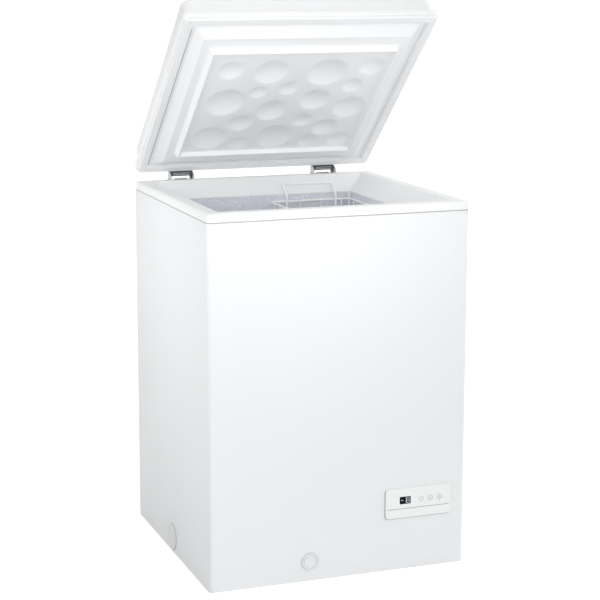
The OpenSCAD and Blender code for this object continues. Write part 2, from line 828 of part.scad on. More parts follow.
module control_bezel() {
    back = -half_d + box_d;
    color([0.92, 0.92, 0.93]) {
        difference() {
            union() {
                upright([bezel_w, bezel_h], 7, bezel_x, bezel_z, plate_y, -half_d);
                upright([box_w - 2 * set_gap, box_h - 2 * set_gap], 3, bezel_x, bezel_z,
                    -half_d, back);
            }
            upright([box_w - 4, box_h - 4], 2, bezel_x, bezel_z, -half_d, back + 1);
            upright([window_w, window_h] + 2 * [set_gap, set_gap], 1, window_x, row_z,
                plate_y - 1, -half_d + 1);
            for (x = key_x) rod_y(plate_y - 1, -half_d + 1, x, row_z, key_r + key_gap);
            block(bezel_x - bezel_w / 2 + 4, bezel_x + bezel_w / 2 - 4, plate_y - 1,
                plate_y + 0.4, strip_z - 0.4, strip_z + 0.4);
        }
        for (x = [-1, 1], z = [-1, 1])
            rod_y(-half_d, board_y, bezel_x + x * (box_w / 2 - 8), bezel_z + z * (box_h / 2 - 7),
                3);
    }
}

module control_board() {
    back = board_y + board_t;
    color([0.1, 0.4, 0.2]) {
        upright([box_w - 6, box_h - 6], 2, bezel_x, bezel_z, board_y, back);
        block(bezel_x + 20, bezel_x + 46, back, back + 9, bezel_z - 16, bezel_z + 2);
        block(bezel_x - 50, bezel_x - 30, back, back + 7, bezel_z - 12, bezel_z + 8);
        rod_y(back, back + 9, bezel_x - 12, bezel_z - 10, 4);
    }
}

module key_switches() {
    color([0.15, 0.15, 0.16]) for (x = key_x) {
        block(x - 3, x + 3, board_y - 2.6, board_y, row_z - 3, row_z + 3);
        rod_y(key_back + key_travel + 0.05, board_y - 2, x, row_z, 1.7);
    }
}

module display_window() {
    color([0.03, 0.03, 0.04]) upright([window_w, window_h], 0.8, window_x, row_z,
        plate_y + 0.6, board_y);
}

// Seven-bar figures: bars named a to g as on a clock, by their place
module figure(bars, x) {
    w = 4.4;
    h = 8.4;
    t = 1;
    places = [[0, h / 2, w, t], [w / 2, h / 4, t, h / 2], [w / 2, -h / 4, t, h / 2],
        [0, -h / 2, w, t], [-w / 2, -h / 4, t, h / 2], [-w / 2, h / 4, t, h / 2], [0, 0, w, t]];
    for (b = bars) {
        p = places[b];
        upright([p[2], p[3]], 0.3, x + p[0], row_z + p[1], plate_y + 0.4, plate_y + 0.6);
    }
}

module display_digits() {
    color([0.9, 0.95, 1]) {
        figure([6], window_x - 7.5);
        figure([1, 2], window_x - 1.5);
        figure([0, 1, 2, 3, 4, 5, 6], window_x + 6.5);
    }
}

module temperature_sensor() {
    color([0.7, 0.7, 0.72])
        rod_y(-60, 0, liner_w / 2 + liner_t + evap_r + set_gap / 2,
            evap_z + evap_pitch / 2, evap_r);
}

module side_cap() {
    color([0.93, 0.93, 0.94]) {
        rod_x(-half_w - 2.5, -half_w, 0, side_cap_z, side_cap_r);
        rod_x(-half_w, -half_w + snap_l, 0, side_cap_z, snap_r);
    }
}

// Drain

module drain_tube() {
    top = liner_floor - liner_t;
    color([0.9, 0.9, 0.9]) difference() {
        union() {
            rod_z(drain_z, top, drain_x, drain_y, outlet_r);
            rod_y(-half_d, drain_y, drain_x, drain_z, outlet_r);
            translate([drain_x, drain_y, drain_z]) sphere(outlet_r);
        }
        rod_z(drain_z, top + 1, drain_x, drain_y, drain_r);
        rod_y(-half_d - 1, drain_y, drain_x, drain_z, drain_r);
        translate([drain_x, drain_y, drain_z]) sphere(drain_r);
    }
}

module drain_cap() {
    face = -half_d - rest_gap;
    color([0.93, 0.93, 0.94]) {
        rod_y(face - 4, face, drain_x, drain_z, cap_r);
        rod_y(face - 1, face + 12, drain_x, drain_z, drain_r - rest_gap);
    }
}

module drain_plug() {
    low = liner_floor + rest_gap;
    color([0.85, 0.86, 0.87]) {
        rod_z(low, low + 4, drain_x, drain_y, drain_r + 5);
        rod_z(low - 10, low + 1, drain_x, drain_y, drain_r - rest_gap);
        block(drain_x - 8, drain_x + 8, drain_y - 1.5, drain_y + 1.5, low + 3, low + 12);
    }
}

// Hinges

module hinge_bases() {
    color([0.7, 0.71, 0.72]) difference() {
        both_hinges() {
            block(-channel_w / 2 - base_lap, channel_w / 2 + base_lap, half_d,
                half_d + plate_t, base_z[0], base_z[1]);
            for (s = [-1, 1]) intersection() {
                translate([s * (channel_w / 2 + plate_t / 2), 0, 0]) union() {
                    block(-plate_t / 2, plate_t / 2, half_d, hinge_y + channel_back, base_z[0],
                        hinge_z);
                    rod_x(-plate_t / 2, plate_t / 2, hinge_y, hinge_z, ear_r);
                }
                block(-channel_w, channel_w, half_d + 0.5, hinge_y + channel_back, base_z[0],
                    hinge_z + ear_r);
            }
            block(-channel_w / 2 - plate_t / 2, channel_w / 2 + plate_t / 2,
                hinge_y + channel_back - plate_t, hinge_y + channel_back, base_z[0], bridge_z);
        }
        both_hinges() rod_x(-channel_w, channel_w, hinge_y, hinge_z, pin_r + pin_clear);
        base_holes(screw_r, half_d - 1, half_d + 5);
    }
}

module hinge_pins() {
    half = channel_w / 2 + plate_t;
    color([0.75, 0.75, 0.77]) both_hinges() {
        rod_x(-half - 1, half + 1.5, hinge_y, hinge_z, pin_r);
        rod_x(-half - 3, -half - set_gap, hinge_y, hinge_z, pin_r + 2);
    }
}

module hinge_springs() {
    ring_r = pin_r + spring_wire + spring_gap;
    color([0.35, 0.36, 0.38]) both_hinges() {
        for (i = [0 : spring_turns - 1])
            translate([(i - (spring_turns - 1) / 2) * spring_pitch, hinge_y, hinge_z])
                rotate([0, 90, 0]) rotate_extrude()
                    translate([ring_r, 0]) circle(spring_wire, $fn = 24);
        rod_z(hinge_z - spring_leg, hinge_z - ring_r / 2, 0,
            hinge_y + channel_back - plate_t - spring_wire, spring_wire);
    }
}

module hinge_screws() {
    color([0.6, 0.6, 0.62]) {
        base_holes(screw_r - screw_gap, half_d - screw_l, half_d + plate_t);
        base_holes(head_r, half_d + plate_t, half_d + plate_t + head_h);
    }
}

module hinge_arms() {
    ramp = [[lid_back, frame_z], [hinge_y - arm_drop[0], hinge_z + arm_drop[1]]];
    side = [[lid_back, frame_top], ramp[0], ramp[1], [hinge_y, hinge_z],
        [hinge_y + eye_r - 1, hinge_z], [hinge_y - 6, frame_top]];
    web = [ramp[0], ramp[1], ramp[1] + [plate_t, plate_t], ramp[0] + [plate_t, plate_t]];
    color([0.3, 0.31, 0.33]) opened() difference() {
        both_hinges() {
            for (x = [-arm_half, arm_half - plate_t])
                translate([x, 0, 0]) rotate([90, 0, 90]) linear_extrude(plate_t) {
                    polygon(side);
                    translate([hinge_y, hinge_z]) circle(eye_r);
                }
            translate([-arm_half, 0, 0]) rotate([90, 0, 90]) linear_extrude(2 * arm_half)
                polygon(web);
            block(-arm_half, arm_half, lid_back, lid_back + plate_t, frame_z, frame_top);
        }
        both_hinges() rod_x(-channel_w, channel_w, hinge_y, hinge_z, pin_r + pin_clear);
        arm_holes(screw_r, lid_back - 1, lid_back + 5);
    }
}

module arm_holes(r, y0, y1) {
    both_hinges() for (x = [-1, 1])
        rod_y(y0, y1, x * leaf_screw_x, (frame_z + frame_top) / 2, r);
}

module arm_screws() {
    color([0.6, 0.6, 0.62]) opened() {
        arm_holes(screw_r - screw_gap, lid_back - screw_l - 2, lid_back + plate_t);
        arm_holes(head_r, lid_back + plate_t, lid_back + plate_t + head_h - 0.2);
    }
}

// Lid, drawn closed

module lid_shell() {
    color([0.96, 0.96, 0.96]) opened() difference() {
        slab([shell_w, shell_d], frame_top, lid_top, shell_r);
        slab([shell_w, shell_d] - 2 * [skin_t, skin_t], frame_top - 1, lid_top - skin_t,
            shell_r - skin_t);
    }
}

module lid_frame() {
    color([0.93, 0.93, 0.94]) opened() difference() {
        slab([lid_w, lid_d], frame_z, frame_top, frame_r);
        slab(frame_in, frame_z - 1, frame_top + 1, 4);
        arm_holes(screw_r, lid_back - screw_l - 4, lid_back + 1);
    }
}

module lid_foam() {
    color([0.93, 0.88, 0.7]) opened() difference() {
        union() {
            slab([shell_w, shell_d] - 2 * [skin_t, skin_t], frame_top, lid_top - skin_t,
                shell_r - skin_t);
            slab(frame_in - 2 * [set_gap, set_gap], frame_z + panel_t, frame_top + 1, 4);
            funnel(plug_b - 2 * wall, z_1 + panel_t, plug_a - 2 * wall,
                frame_z + panel_t + 1);
        }
        slab(field_a + 2 * wall, z_1 - 1, z_field + panel_t + 9, 2);
    }
}

module dimple_caps(grow) {
    for (d = dimples) {
        deep = d[2] * dimple_share;
        r = (d[2] * d[2] / 4 + deep * deep) / (2 * deep);
        intersection() {
            translate([d[0], d[1], z_field + deep - r]) sphere(r + grow, $fn = 96);
            translate([d[0], d[1], z_field - 0.5])
                cylinder(h = deep + grow + 1, r = d[2] / 2 + grow + 2);
        }
    }
}

module lid_panel() {
    over = 1;                    // the cuts run on this far
    lean = [field_run_x, field_run_y] * over / (level_2 - field_depth);
    color([0.9, 0.91, 0.92]) opened() difference() {
        union() {
            slab(panel_rim, frame_z, frame_z + panel_t, 3.8);
            difference() {
                union() {
                    funnel(plug_b, z_1, plug_a, frame_z + thin);
                    funnel(plug_d, z_2, plug_c, z_1 + thin);
                }
                difference() {
                    union() {
                        funnel(plug_b - 2 * wall, z_1 + panel_t, plug_a - 2 * wall,
                            frame_z + panel_t);
                        funnel(plug_d - 2 * wall, z_2 + panel_t, plug_c - 2 * wall,
                            z_1 + panel_t + thin);
                    }
                    funnel(field_a + 2 * wall, z_2, field_b + 2 * wall, z_field + panel_t);
                }
            }
            dimple_caps(panel_t);
        }
        slab(plug_a - 2 * wall, frame_z - thin, frame_z + panel_t + 1, 0.5);
        funnel(field_a + 2 * lean, z_2 - over, field_b, z_field);
        dimple_caps(0);
    }
}

module lid_gasket() {
    outer = [lid_w, lid_d] - 2 * [gasket_inset, gasket_inset];
    inner = frame_in + [3, 3];
    color([0.86, 0.87, 0.88]) opened() difference() {
        slab(outer, top_z + gasket_gap, frame_z, frame_r - gasket_inset);
        slab(inner, top_z, frame_z + 1, 4);
    }
}

// Basket

module basket_frame() {
    low = rim_z - basket_h;
    color([0.97, 0.97, 0.98]) translate([basket_x, 0, 0]) {
        turn(basket_w, basket_l, rim_z, rim_r, 8);
        turn(basket_w, basket_l, rim_z - ring_drop, wire_r, 8);
        turn(basket_w, basket_l, low, rim_r, 8);
        for (y = rows(basket_l)) u_wire([basket_w / 2, 0, 0], [0, y, 0], low);
        for (x = rows(basket_w)) u_wire([0, basket_l / 2, 0], [x, 0, 0], low);
        for (y = [-1, 1])
            rod_z(low, rim_z + post_rise, basket_w / 2 - 2.4, y * (basket_l / 2 - 2.4), rim_r);
    }
}

// Places of evenly spaced wires along a side, centred on it
function rows(length) =
    let (n = floor((length - 16) / wire_pitch) + 1)
    [for (i = [0 : n - 1]) (i - (n - 1) / 2) * wire_pitch];

module u_wire(side, place, low) {
    down = [0, 0, low];
    up = [0, 0, rim_z];
    wire([place - side + up, place - side + down, place + side + down, place + side + up],
        wire_r);
}

module basket_hangers() {
    half = hanger_w / 2;
    knee = mouth_z - 3;
    color([0.97, 0.97, 0.98]) for (s = [-1, 1])
        translate([basket_x, 0, 0]) wire([
            [-half, s * leg_y, rim_z - ring_drop], [-half, s * leg_y, knee],
            [-half, s * bar_y, bar_z], [half, s * bar_y, bar_z],
            [half, s * leg_y, knee], [half, s * leg_y, rim_z - ring_drop]], rim_r);
}

// Keys

module key(i) {
    rod_y(plate_y - 0.4, -half_d + 1, key_x[i], row_z, key_r);
    rod_y(-half_d + set_gap, key_back, key_x[i], row_z, flange_r);
}

module key_minus() {
    color([0.9, 0.9, 0.91]) key(0);
}

module key_plus() {
    color([0.9, 0.9, 0.91]) key(1);
}

module key_mode() {
    color([0.9, 0.9, 0.91]) key(2);
}

cabinet_shell();
back_panel();
base_pan();
top_collar();
inner_liner();
foam_insulation();
bay_partition();
evaporator_coil();
condenser_coil();
compressor_can();
compressor_motor();
compressor_feet();
compressor_grommets();
compressor_studs();
relay_cover();
suction_line();
discharge_line();
filter_drier();
capillary_tube();
rear_grille();
grille_screws();
side_vent();
cord_gland();
bay_wiring();
control_bezel();
control_board();
key_switches();
display_window();
display_digits();
temperature_sensor();
side_cap();
drain_tube();
hinge_bases();
hinge_pins();
hinge_springs();
hinge_screws();
lid_shell();
lid_frame();
lid_foam();
lid_panel();
lid_gasket();
hinge_arms();
arm_screws();
basket_frame();
basket_hangers();
key_minus();
key_plus();
key_mode();
drain_cap();
drain_plug();
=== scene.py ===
import json
import math
import bmesh
import bpy
from mathutils import Matrix, Vector


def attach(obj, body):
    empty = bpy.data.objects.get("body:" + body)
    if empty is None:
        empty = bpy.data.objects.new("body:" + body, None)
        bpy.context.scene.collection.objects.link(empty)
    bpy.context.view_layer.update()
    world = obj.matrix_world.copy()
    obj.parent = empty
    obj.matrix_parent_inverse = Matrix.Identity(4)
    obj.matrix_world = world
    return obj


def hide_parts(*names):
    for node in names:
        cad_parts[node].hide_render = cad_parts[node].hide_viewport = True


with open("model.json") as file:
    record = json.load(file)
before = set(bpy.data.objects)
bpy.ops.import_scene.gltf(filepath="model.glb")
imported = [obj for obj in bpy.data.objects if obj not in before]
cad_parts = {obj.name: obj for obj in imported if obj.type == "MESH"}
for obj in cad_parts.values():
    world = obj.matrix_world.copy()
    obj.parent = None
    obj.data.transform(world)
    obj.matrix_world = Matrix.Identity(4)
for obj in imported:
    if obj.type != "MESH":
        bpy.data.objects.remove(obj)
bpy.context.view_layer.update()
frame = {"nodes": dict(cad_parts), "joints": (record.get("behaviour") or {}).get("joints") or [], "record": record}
nodes = frame["nodes"]
print("Frame loaded:", len(nodes), "CAD nodes")

# The lid's pieces are modelled closed, then swung open about the hinge.
hinge = next(j for j in frame["joints"] if j["name"] == "lid_hinge")
hingeAt = Vector(hinge["pos_m"])
lidOpen = math.radians(-hinge["range_deg"][0])
swing = (Matrix.Translation(hingeAt) @ Matrix.Rotation(-lidOpen, 4, "X")
         @ Matrix.Translation(-hingeAt))


# Shader node groups

def newGroup(name, inputs, outputs):
    group = bpy.data.node_groups.new(name, "ShaderNodeTree")
    for label, kind, value in inputs:
        socket = group.interface.new_socket(label, in_out="INPUT", socket_type=kind)
        if value is not None:
            socket.default_value = value
    for label, kind in outputs:
        group.interface.new_socket(label, in_out="OUTPUT", socket_type=kind)
    return group, group.nodes.new("NodeGroupInput"), group.nodes.new("NodeGroupOutput")


# A node with its settings; a socket given for an input is linked, a value is set
def addNode(tree, kind, links=None, **settings):
    node = tree.nodes.new(kind)
    for key, value in settings.items():
        setattr(node, key, value)
    for key, value in (links or {}).items():
        if isinstance(value, bpy.types.NodeSocket):
            tree.links.new(value, node.inputs[key])
        else:
            node.inputs[key].default_value = value
    return node


# Slow drift of tone over a surface, as paint and plastic have
toneGroup, toneIn, toneOut = newGroup(
    "toneDrift",
    [("Color", "NodeSocketColor", (0.8, 0.8, 0.8, 1)), ("Scale", "NodeSocketFloat", 4.0),
     ("Amount", "NodeSocketFloat", 0.03)],
    [("Color", "NodeSocketColor")])
toneCoord = addNode(toneGroup, "ShaderNodeTexCoord")
toneNoise = addNode(toneGroup, "ShaderNodeTexNoise", {
    "Vector": toneCoord.outputs["Object"], "Scale": toneIn.outputs["Scale"], "Detail": 3.0})
toneShift = addNode(toneGroup, "ShaderNodeMath", {
    0: toneNoise.outputs["Fac"], 1: -0.5}, operation="ADD")
toneScaled = addNode(toneGroup, "ShaderNodeMath", {
    0: toneShift.outputs[0], 1: toneIn.outputs["Amount"], 2: 1.0}, operation="MULTIPLY_ADD")
toneColor = addNode(toneGroup, "ShaderNodeVectorMath", {
    0: toneIn.outputs["Color"]}, operation="SCALE")
toneGroup.links.new(toneScaled.outputs[0], toneColor.inputs["Scale"])
toneGroup.links.new(toneColor.outputs[0], toneOut.inputs["Color"])

# Roughness that wanders between two values
glossGroup, glossIn, glossOut = newGroup(
    "glossPatches",
    [("Scale", "NodeSocketFloat", 8.0), ("Low", "NodeSocketFloat", 0.2),
     ("High", "NodeSocketFloat", 0.3)],
    [("Roughness", "NodeSocketFloat")])
glossCoord = addNode(glossGroup, "ShaderNodeTexCoord")
glossNoise = addNode(glossGroup, "ShaderNodeTexNoise", {
    "Vector": glossCoord.outputs["Object"], "Scale": glossIn.outputs["Scale"], "Detail": 4.0})
glossRange = addNode(glossGroup, "ShaderNodeMapRange", {
    "Value": glossNoise.outputs["Fac"], "From Min": 0.3, "From Max": 0.7,
    "To Min": glossIn.outputs["Low"], "To Max": glossIn.outputs["High"]})
glossGroup.links.new(glossRange.outputs[0], glossOut.inputs["Roughness"])

# Fine skin: orange peel on paint, spark texture on plastic
skinGroup, skinIn, skinOut = newGroup(
    "skinGrain",
    [("Scale", "NodeSocketFloat", 300.0), ("Wave", "NodeSocketFloat", 30.0),
     ("Mix", "NodeSocketFloat", 0.5)],
    [("Height", "NodeSocketFloat")])
skinCoord = addNode(skinGroup, "ShaderNodeTexCoord")
skinFine = addNode(skinGroup, "ShaderNodeTexNoise", {
    "Vector": skinCoord.outputs["Object"], "Scale": skinIn.outputs["Scale"], "Detail": 3.0})
skinWave = addNode(skinGroup, "ShaderNodeTexNoise", {
    "Vector": skinCoord.outputs["Object"], "Scale": skinIn.outputs["Wave"], "Detail": 1.0})
skinMix = addNode(skinGroup, "ShaderNodeMix", {
    0: skinIn.outputs["Mix"], 2: skinFine.outputs["Fac"], 3: skinWave.outputs["Fac"]})
skinGroup.links.new(skinMix.outputs[0], skinOut.inputs["Height"])

# Pebbled embossing of the liner's sheet; its height also darkens the colour in the hollows as painted shade
pebbleGroup, pebbleIn, pebbleOut = newGroup(
    "pebbleEmboss",
    [("Scale", "NodeSocketFloat", 250.0)],
    [("Height", "NodeSocketFloat")])
pebbleCoord = addNode(pebbleGroup, "ShaderNodeTexCoord")
pebbleWarp = addNode(pebbleGroup, "ShaderNodeTexNoise", {
    "Vector": pebbleCoord.outputs["Object"], "Scale": 120.0, "Detail": 2.0})
pebblePush = addNode(pebbleGroup, "ShaderNodeVectorMath", {
    0: pebbleWarp.outputs["Color"], "Scale": 0.004}, operation="SCALE")
pebblePlace = addNode(pebbleGroup, "ShaderNodeVectorMath", {
    0: pebbleCoord.outputs["Object"], 1: pebblePush.outputs[0]}, operation="ADD")
pebbleCells = addNode(pebbleGroup, "ShaderNodeTexVoronoi", {
    "Vector": pebblePlace.outputs[0], "Scale": pebbleIn.outputs["Scale"],
    "Smoothness": 0.6}, feature="SMOOTH_F1")
pebbleRange = addNode(pebbleGroup, "ShaderNodeMapRange", {
    "Value": pebbleCells.outputs["Distance"], "From Min": 0.1, "From Max": 0.6,
    "To Min": 1.0, "To Max": 0.0}, interpolation_type="SMOOTHSTEP")
pebbleGroup.links.new(pebbleRange.outputs[0], pebbleOut.inputs["Height"])

# Dust that settles where a surface faces up
dustGroup, dustIn, dustOut = newGroup(
    "settledDust",
    [("Color", "NodeSocketColor", (0.1, 0.1, 0.1, 1)),
     ("Dust", "NodeSocketColor", (0.45, 0.43, 0.4, 1)),
     ("Amount", "NodeSocketFloat", 0.2)],
    [("Color", "NodeSocketColor")])
dustGeometry = addNode(dustGroup, "ShaderNodeNewGeometry")
dustUp = addNode(dustGroup, "ShaderNodeSeparateXYZ", {0: dustGeometry.outputs["Normal"]})
dustCoord = addNode(dustGroup, "ShaderNodeTexCoord")
dustNoise = addNode(dustGroup, "ShaderNodeTexNoise", {
    "Vector": dustCoord.outputs["Object"], "Scale": 60.0, "Detail": 5.0})
dustFacing = addNode(dustGroup, "ShaderNodeMapRange", {
    "Value": dustUp.outputs["Z"], "From Min": 0.2, "From Max": 1.0})
dustPatch = addNode(dustGroup, "ShaderNodeMath", {
    0: dustFacing.outputs[0], 1: dustNoise.outputs["Fac"]}, operation="MULTIPLY")
dustMask = addNode(dustGroup, "ShaderNodeMath", {
    0: dustPatch.outputs[0], 1: dustIn.outputs["Amount"]}, operation="MULTIPLY")
dustMix = addNode(dustGroup, "ShaderNodeMix", {
    0: dustMask.outputs[0], 6: dustIn.outputs["Color"], 7: dustIn.outputs["Dust"]},
    data_type="RGBA")
dustGroup.links.new(dustMix.outputs[2], dustOut.inputs["Color"])


def useGroup(tree, group, links):
    return addNode(tree, "ShaderNodeGroup", links, node_tree=group)


# What every finish has unless its own look says otherwise
plainLook = dict(drift=0.02, driftScale=5.0, glossScale=9.0, grain=400.0, wave=30.0,
                 waveMix=0.4, bump=0.2, depth=0.0002, metal=0.0, coat=0.0,
                 coatRough=0.1, specular=0.5)


def makeMaterial(name, ownLook):
    look = {**plainLook, **ownLook}
    material = bpy.data.materials.new(name)
    material.use_nodes = True
    tree = material.node_tree
    shader = tree.nodes["Principled BSDF"]
    tone = useGroup(tree, toneGroup, {
        "Color": (*look["color"], 1), "Scale": look["driftScale"],
        "Amount": look["drift"]})
    color = tone.outputs["Color"]
    if "dust" in look:
        dust = useGroup(tree, dustGroup, {"Color": color, "Amount": look["dust"]})
        color = dust.outputs["Color"]
    gloss = useGroup(tree, glossGroup, {
        "Scale": look["glossScale"], "Low": look["rough"][0], "High": look["rough"][1]})
    if "pebble" in look:
        pebble = useGroup(tree, pebbleGroup, {"Scale": look["pebble"]})
        height = pebble.outputs["Height"]
        # Colour darkened in the pebbles' hollows: painted shade, beside the bump
        shade = addNode(tree, "ShaderNodeMix", {
            0: height, 6: (*look["pebbleHollowShade"], 1), 7: color}, data_type="RGBA")
        color = shade.outputs[2]
    else:
        skin = useGroup(tree, skinGroup, {
            "Scale": look["grain"], "Wave": look["wave"], "Mix": look["waveMix"]})
        height = skin.outputs["Height"]
    bump = addNode(tree, "ShaderNodeBump", {
        "Strength": look["bump"], "Distance": look["depth"], "Height": height})
    tree.links.new(color, shader.inputs["Base Color"])
    tree.links.new(gloss.outputs["Roughness"], shader.inputs["Roughness"])
    tree.links.new(bump.outputs["Normal"], shader.inputs["Normal"])
    shader.inputs["Metallic"].default_value = look["metal"]
    shader.inputs["Coat Weight"].default_value = look["coat"]
    shader.inputs["Coat Roughness"].default_value = look["coatRough"]
    shader.inputs["Specular IOR Level"].default_value = look["specular"]
    if "glow" in look:
        tree.links.new(color, shader.inputs["Emission Color"])
        shader.inputs["Emission Strength"].default_value = look["glow"]
    return material


# One look for each finish; a user changes the colours and the gloss here.
looks = {
    "white_enamel": dict(color=(0.83, 0.84, 0.85), rough=(0.30, 0.36), specular=0.35,
                         drift=0.012, grain=700, wave=60, waveMix=0.3, bump=0.05,
                         depth=0.00006),
    "white_plastic": dict(color=(0.87, 0.88, 0.88), rough=(0.34, 0.42), drift=0.015,
                          grain=900, bump=0.04, depth=0.0001),
    "cap_plastic": dict(color=(0.79, 0.80, 0.81), rough=(0.34, 0.42), drift=0.015,
                        grain=900, bump=0.10, depth=0.0001),
    "lid_plastic": dict(color=(0.89, 0.90, 0.91), rough=(0.36, 0.46), drift=0.02,
                        driftScale=7, grain=700, bump=0.10, depth=0.00015),
    "liner_metal": dict(color=(0.90, 0.915, 0.955), rough=(0.32, 0.45), drift=0.05,
                        pebble=260.0, pebbleHollowShade=(0.75, 0.77, 0.83), metal=0.1,
                        bump=0.5, depth=0.0006),
    "bare_steel": dict(color=(0.62, 0.63, 0.65), rough=(0.34, 0.5), drift=0.10,
                       driftScale=14, metal=0.8, grain=500, bump=0.08, depth=0.0001,
                       dust=0.15),
    "foam": dict(color=(0.80, 0.70, 0.45), rough=(0.8, 0.95), drift=0.12, driftScale=20,
                 grain=260, bump=0.5, depth=0.0008),
    "gasket_rubber": dict(color=(0.86, 0.87, 0.88), rough=(0.42, 0.52), drift=0.02,
                          grain=1200, bump=0.04, depth=0.0001),
    "copper_tube": dict(color=(0.80, 0.42, 0.26), rough=(0.25, 0.42), drift=0.18,
                        driftScale=30, metal=1.0, bump=0.1, dust=0.1),
    "black_enamel": dict(color=(0.018, 0.018, 0.02), rough=(0.22, 0.36), drift=0.2,
                         coat=0.3, wave=60, waveMix=0.7, bump=0.12, depth=0.0004,
                         dust=0.25),
    "motor_iron": dict(color=(0.12, 0.12, 0.125), rough=(0.5, 0.7), drift=0.2, metal=0.7,
                       grain=300, bump=0.4, depth=0.0005),
    "black_rubber": dict(color=(0.02, 0.02, 0.02), rough=(0.6, 0.75), drift=0.2,
                         bump=0.2, dust=0.3),
    "dark_plastic": dict(color=(0.035, 0.036, 0.038), rough=(0.42, 0.55), drift=0.1,
                         grain=800, bump=0.2, depth=0.00015, dust=0.15),
    "board_green": dict(color=(0.02, 0.13, 0.06), rough=(0.3, 0.45), drift=0.15,
                        grain=600, bump=0.15),
    "window_black": dict(color=(0.003, 0.003, 0.004), rough=(0.06, 0.12),
                         specular=0.08, drift=0.1, bump=0.02),
    "lit_digits": dict(color=(0.62, 0.66, 0.70), rough=(0.3, 0.4), drift=0.02,
                       bump=0.02, glow=0.3),
    # Grey of the plate's divider line, and of the painted shade under the collar, round the control plate and
    # behind the caps
    "seam_and_painted_shade_grey": dict(color=(0.40, 0.41, 0.43), rough=(0.5, 0.6), drift=0.04,
                      grain=900, bump=0.1),
    # Dark grey of the painted shadow in the lid gasket's gap
    "painted_gap_shadow": dict(color=(0.28, 0.285, 0.29), rough=(0.5, 0.6), drift=0.06,
                      grain=900, bump=0.1),
    "key_print": dict(color=(0.52, 0.52, 0.55), rough=(0.4, 0.5), drift=0.04,
                      grain=900, bump=0.05),
    "zinc_screw": dict(color=(0.66, 0.67, 0.69), rough=(0.2, 0.34), drift=0.12,
                       driftScale=60, metal=1.0, bump=0.1, dust=0.1),
    "drain_plastic": dict(color=(0.70, 0.71, 0.72), rough=(0.4, 0.5), drift=0.03,
                          grain=700, bump=0.12),
    "key_plastic": dict(color=(0.84, 0.85, 0.86), rough=(0.3, 0.38), drift=0.01,
                        grain=1200, bump=0.06, depth=0.0001),
    "basket_wire": dict(color=(0.95, 0.955, 0.97), rough=(0.30, 0.38), coat=0.3,
                        drift=0.02, wave=120, waveMix=0.6, bump=0.15, depth=0.0002),
    "hinge_steel": dict(color=(0.60, 0.61, 0.62), rough=(0.34, 0.46), drift=0.08,
                        driftScale=25, metal=0.2, coat=0.1, grain=700, bump=0.1,
                        dust=0.1),
    "hinge_dark": dict(color=(0.075, 0.078, 0.08), rough=(0.34, 0.46), drift=0.15,
                       driftScale=25, metal=0.3, grain=700, bump=0.1, dust=0.1),
}
for cadMaterial in list(bpy.data.materials):
    bpy.data.materials.remove(cadMaterial)
materials = {name: makeMaterial(name, look) for name, look in looks.items()}

slotOf = {p["node"]: p["material_slot"] for p in frame["record"]["subparts"]}
for name, node in nodes.items():
    node.data.materials.clear()
    node.data.materials.append(materials[slotOf[name]])
print("Materials made:", len(materials))


# Modelling steps that several pieces share

def clearSelection():
    if bpy.context.mode != "OBJECT":
        bpy.ops.object.mode_set(mode="OBJECT")
    bpy.ops.object.select_all(action="DESELECT")


def pick(piece):
    clearSelection()
    piece.select_set(True)
    bpy.context.view_layer.objects.active = piece


def startEdit(piece, mode="VERT"):
    pick(piece)
    bpy.ops.object.mode_set(mode="EDIT")
    bpy.ops.mesh.select_mode(type=mode)


def addModifier(piece, kind, **settings):
    pick(piece)
    modifier = piece.modifiers.new(kind.title(), kind)
    for key, value in settings.items():
        setattr(modifier, key, value)
    bpy.ops.object.modifier_apply(modifier=modifier.name)


def softenEdges(piece, width, steps=3, angle=30):
    addModifier(piece, "BEVEL", width=width, segments=steps, limit_method="ANGLE",
                angle_limit=math.radians(angle), use_clamp_overlap=True)


# Puts a piece in its place, smooths it, gives it the material of its look or slot, ties it to its body and hides
# the nodes it replaces
def finishPiece(piece, body, slot, replaced=(), smooth=35, place=None, look=None):
    pick(piece)
    if place is not None:
        piece.matrix_world = place @ piece.matrix_world
    bpy.ops.object.transform_apply(location=True, rotation=True, scale=True)
    bpy.ops.object.shade_smooth_by_angle(angle=math.radians(smooth))
    addModifier(piece, "WEIGHTED_NORMAL", keep_sharp=True, weight=90)
    piece.data.materials.clear()
    piece.data.materials.append(materials[look or slot])
    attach(piece, body)
    if replaced:
        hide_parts(*replaced)


# Selects the edges that lie within the given loops of a lofted piece
def selectLevels(piece, levels):
    bpy.ops.mesh.select_mode(type="EDGE")
    bpy.ops.mesh.select_all(action="DESELECT")
    mesh = bmesh.from_edit_mesh(piece.data)
    mark = mesh.verts.layers.int["level"]
    for edge in mesh.edges:
        first, second = (v[mark] for v in edge.verts)
        if first == second and first in levels:
            edge.select_set(True)
    bmesh.update_edit_mesh(piece.data)


